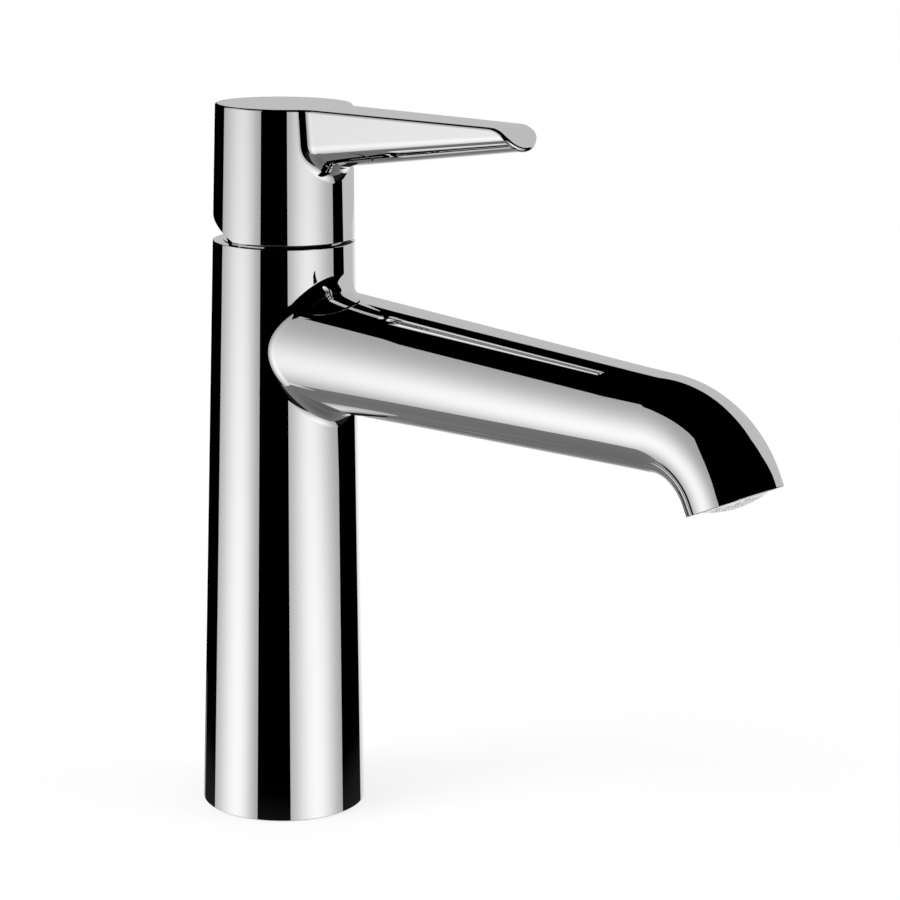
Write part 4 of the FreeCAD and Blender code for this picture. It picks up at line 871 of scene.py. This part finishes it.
card("left_soft_box", [(BOX_RIGHT, -0.33, BOX_FOOT), (BOX_RIGHT, -0.33, BOX_TOP)],
     [(BOX_RIGHT, 1.126, BOX_FOOT), (BOX_RIGHT, 1.126, BOX_TOP)],
     peak=1.02, edge=0.38, centre=(0.435, 0.278), falloff=(0.325, 0.34))
card("right_soft_box", [(3.042, -0.320, up) for up in np.linspace(-2.4, -0.533, 7)]
     + [(2.750, 0.029, -0.222), (2.750, 0.029, 0.089)],
     [(0.871, 2.268, -2.4), (0.407, 2.822, 0.089)],
     peak=1.02, edge=0.40, centre=(0.56, 0.68), falloff=(0.306, 0.47))
card("grey_card", [(0.970, -0.479, -0.03), (1.173, -0.361, 0.34), (1.280, -0.290, 0.72),
                   (1.225, -0.325, 1.00), (0.870, -0.520, 1.10)],
     [(-0.156, -1.129, -0.03), (-0.156, -1.129, 1.10)], peak=0.53, edge=0.53)
card("white_back", [(0.480, -0.735, GROUND), (0.480, -0.735, 0.06)],
     [(-0.65, -1.39, GROUND), (-0.65, -1.39, 0.06)],
     peak=1.0, edge=0.16, centre=(0.36, 0.77), falloff=(0.55, 0.45))
card("grey_ground", [(-0.9, -1.3, GROUND), (-0.9, 0.2, GROUND), (-0.9, 1.7, GROUND)],
     [(0.9, -1.3, GROUND), (1.0, 0.13, GROUND), (0.305, 0.958, GROUND)],
     peak=0.11, edge=0.19, centre=(0.5, 0.43), falloff=(0.35, 0.22))

# black flags: one shapes the left box's upper edge as the spout mirrors it, given as (near, up)
# points, and one ends the white back behind the column's left outline
FLAG_RIGHT, FLAG_TOP = -0.77, 0.98
FLAG_EDGE = [(-0.085, 0.97), (-0.06, 0.922), (-0.02, 0.922), (0.02, 0.915), (0.06, 0.87),
             (0.19, 0.853), (0.24, 0.835), (0.30, 0.785), (0.51, 0.82), (0.80, 0.92), (1.0, 0.97)]
for start, stop in zip(FLAG_EDGE, FLAG_EDGE[1:]):
    card("box_flag", [(FLAG_RIGHT, *start), (FLAG_RIGHT, start[0], FLAG_TOP)],
         [(FLAG_RIGHT, *stop), (FLAG_RIGHT, stop[0], FLAG_TOP)], peak=0.0, edge=0.0)
card("back_flag", [(-0.06, -1.03, -0.42), (-0.06, -1.03, 0.07)],
     [(-0.65, -1.37, -0.42), (-0.65, -1.37, 0.07)], peak=0.0, edge=0.0)

# streaks on the ground, which the spout's underside mirrors: glow against the place across them
STREAK_LEVEL = -0.775
SPOUT_RIGHT, SPOUT_NEAR = 0.765, 0.644
STREAKS = [(-0.74, 0.28), (-0.62, 0.20), (-0.51, 0.109), (-0.45, 0.15), (-0.345, 0.239),
           (-0.27, 0.15), (-0.22, 0.107), (-0.175, 0.17), (-0.135, 0.231), (-0.09, 0.15),
           (-0.042, 0.123), (0.02, 0.15), (0.05, 0.17)]


def streaked_ground():
    """Strip just above the ground card, ruled along the spout. With c and s the spout's shares
    to the right and towards the camera, right = c along - s across, near = s along + c across."""
    along, across = np.meshgrid(np.linspace(-1.15, -0.66, 9), np.linspace(-0.85, 0.05, 181),
                                indexing="ij")
    right = SPOUT_RIGHT * along - SPOUT_NEAR * across
    near = SPOUT_NEAR * along + SPOUT_RIGHT * across
    points = in_studio(np.stack([right, near, 0 * along + STREAK_LEVEL], -1))
    glowing("streaked_ground", points, np.interp(across, *np.transpose(STREAKS)))


streaked_ground()
TENT_RADIUS, TENT_GLOW = 4.0, 0.012
GLOW_START, GLOW_EASE = 107.45, 1.5  # degrees from straight up


def dark_tent():
    """Dark sphere round the studio, x = r cos a sin b, y = r sin a sin b, z = r cos b, black
    above and barely grey a little way below the horizon."""
    a, b = np.meshgrid(np.linspace(0, 2 * math.pi, 49), np.linspace(0.001, math.pi - 0.001, 361),
                       indexing="ij")
    points = TENT_RADIUS * np.stack([np.cos(a) * np.sin(b), np.sin(a) * np.sin(b), np.cos(b)], -1)
    glow = TENT_GLOW * np.clip((np.degrees(b) - GLOW_START) / GLOW_EASE, 0, 1)
    glowing("dark_tent", points, glow)


dark_tent()
FLOOR_RADIUS, FLOOR_DROP = 3.0, 0.0002


def pale_floor():
    """Flat disc whose lit white meets the background's white: it takes the shadow round the
    foot and fades to plain white for the camera further out."""
    a, r = np.meshgrid(np.linspace(2 * math.pi, 0, 65), np.linspace(0, FLOOR_RADIUS, 13),
                       indexing="ij")
    points = np.stack([r * np.cos(a), r * np.sin(a), 0 * r - FLOOR_DROP], -1)
    mesh, tree = sheet("pale_floor", points)
    matt = add(tree, "ShaderNodeBsdfDiffuse", {"Color": (0.95, 0.95, 0.95, 1)})
    bright = add(tree, "ShaderNodeEmission", {"Color": (1, 1, 1, 1)})
    path = add(tree, "ShaderNodeLightPath")
    place = add(tree, "ShaderNodeTexCoord").outputs["Object"]
    away = add(tree, "ShaderNodeVectorMath", {0: place}, operation="LENGTH")
    fade = add(tree, "ShaderNodeMapRange", {"Value": away.outputs["Value"], "From Min": 0.12,
                                            "From Max": 0.5, "To Min": 0.7, "To Max": 1.0},
               interpolation_type="SMOOTHSTEP")
    share = add(tree, "ShaderNodeMath", {0: path.outputs["Is Camera Ray"], 1: fade.outputs[0]},
                operation="MULTIPLY")
    mix = add(tree, "ShaderNodeMixShader", {0: share.outputs[0], 1: matt.outputs[0],
                                            2: bright.outputs[0]})
    add(tree, "ShaderNodeOutputMaterial", {"Surface": mix.outputs[0]})
    floor = linked("pale_floor", mesh)
    floor.visible_glossy = False


pale_floor()

# white all round: at full strength for the camera and mirrors, less as light on matt faces
world = bpy.data.worlds.new("white_studio")
bpy.context.scene.world = world
tree = bare_tree(world)
path = add(tree, "ShaderNodeLightPath").outputs
seen = add(tree, "ShaderNodeMath", {0: path["Is Camera Ray"], 1: path["Is Glossy Ray"]},
           operation="MAXIMUM")
seen = add(tree, "ShaderNodeMath", {0: seen.outputs[0], 1: path["Is Transmission Ray"]},
           operation="MAXIMUM")
level = add(tree, "ShaderNodeMapRange", {"Value": seen.outputs[0], "To Min": 0.75, "To Max": 1.0})
sky = add(tree, "ShaderNodeBackground", {"Color": (1, 1, 1, 1), "Strength": level.outputs[0]})
add(tree, "ShaderNodeOutputWorld", {"Surface": sky.outputs[0]})


def stand(piece, right, up, back, place):
    """Sets an object's three directions and its place."""
    turn = np.eye(4)
    turn[:3, :3] = np.stack([right, up, back], -1)
    turn[:3, 3] = place
    piece.matrix_world = Matrix(turn.tolist())


def lamp(name, place, target, size, power):
    """Square soft lamp facing a target; the metal sees the cards instead of the lamp."""
    light = bpy.data.lights.new(name, "AREA")
    light.size = size
    light.energy = power
    piece = linked(name, light)
    toward = unit(np.array(target, float) - np.array(place, float))
    side = unit(np.cross(toward, UPWARDS))
    stand(piece, side, np.cross(side, toward), -toward, place)
    piece.visible_glossy = False


lamp("key_lamp", (-1.1, 0.5, 1.3), (0, -0.05, 0.1), 0.9, 14.0)
lamp("fill_lamp", (0.6, -1.2, 1.1), (0, -0.05, 0.1), 0.9, 8.0)

# camera fitted to the outline of the column in the photo
camera = linked("camera", bpy.data.cameras.new("camera"))
camera.data.sensor_width = 36.0
camera.data.lens = 108.623
right = np.array([0.64389539, -0.76499868, 0.01325679])
up = np.array([0.16238455, 0.15356904, 0.97470396])
view = np.array([0.74768308, 0.62545469, -0.22310636])
stand(camera, right, up, -view, (-0.56272172, -0.53400297, 0.2837886))
bpy.context.scene.camera = camera
bpy.context.scene.view_settings.view_transform = "Standard"
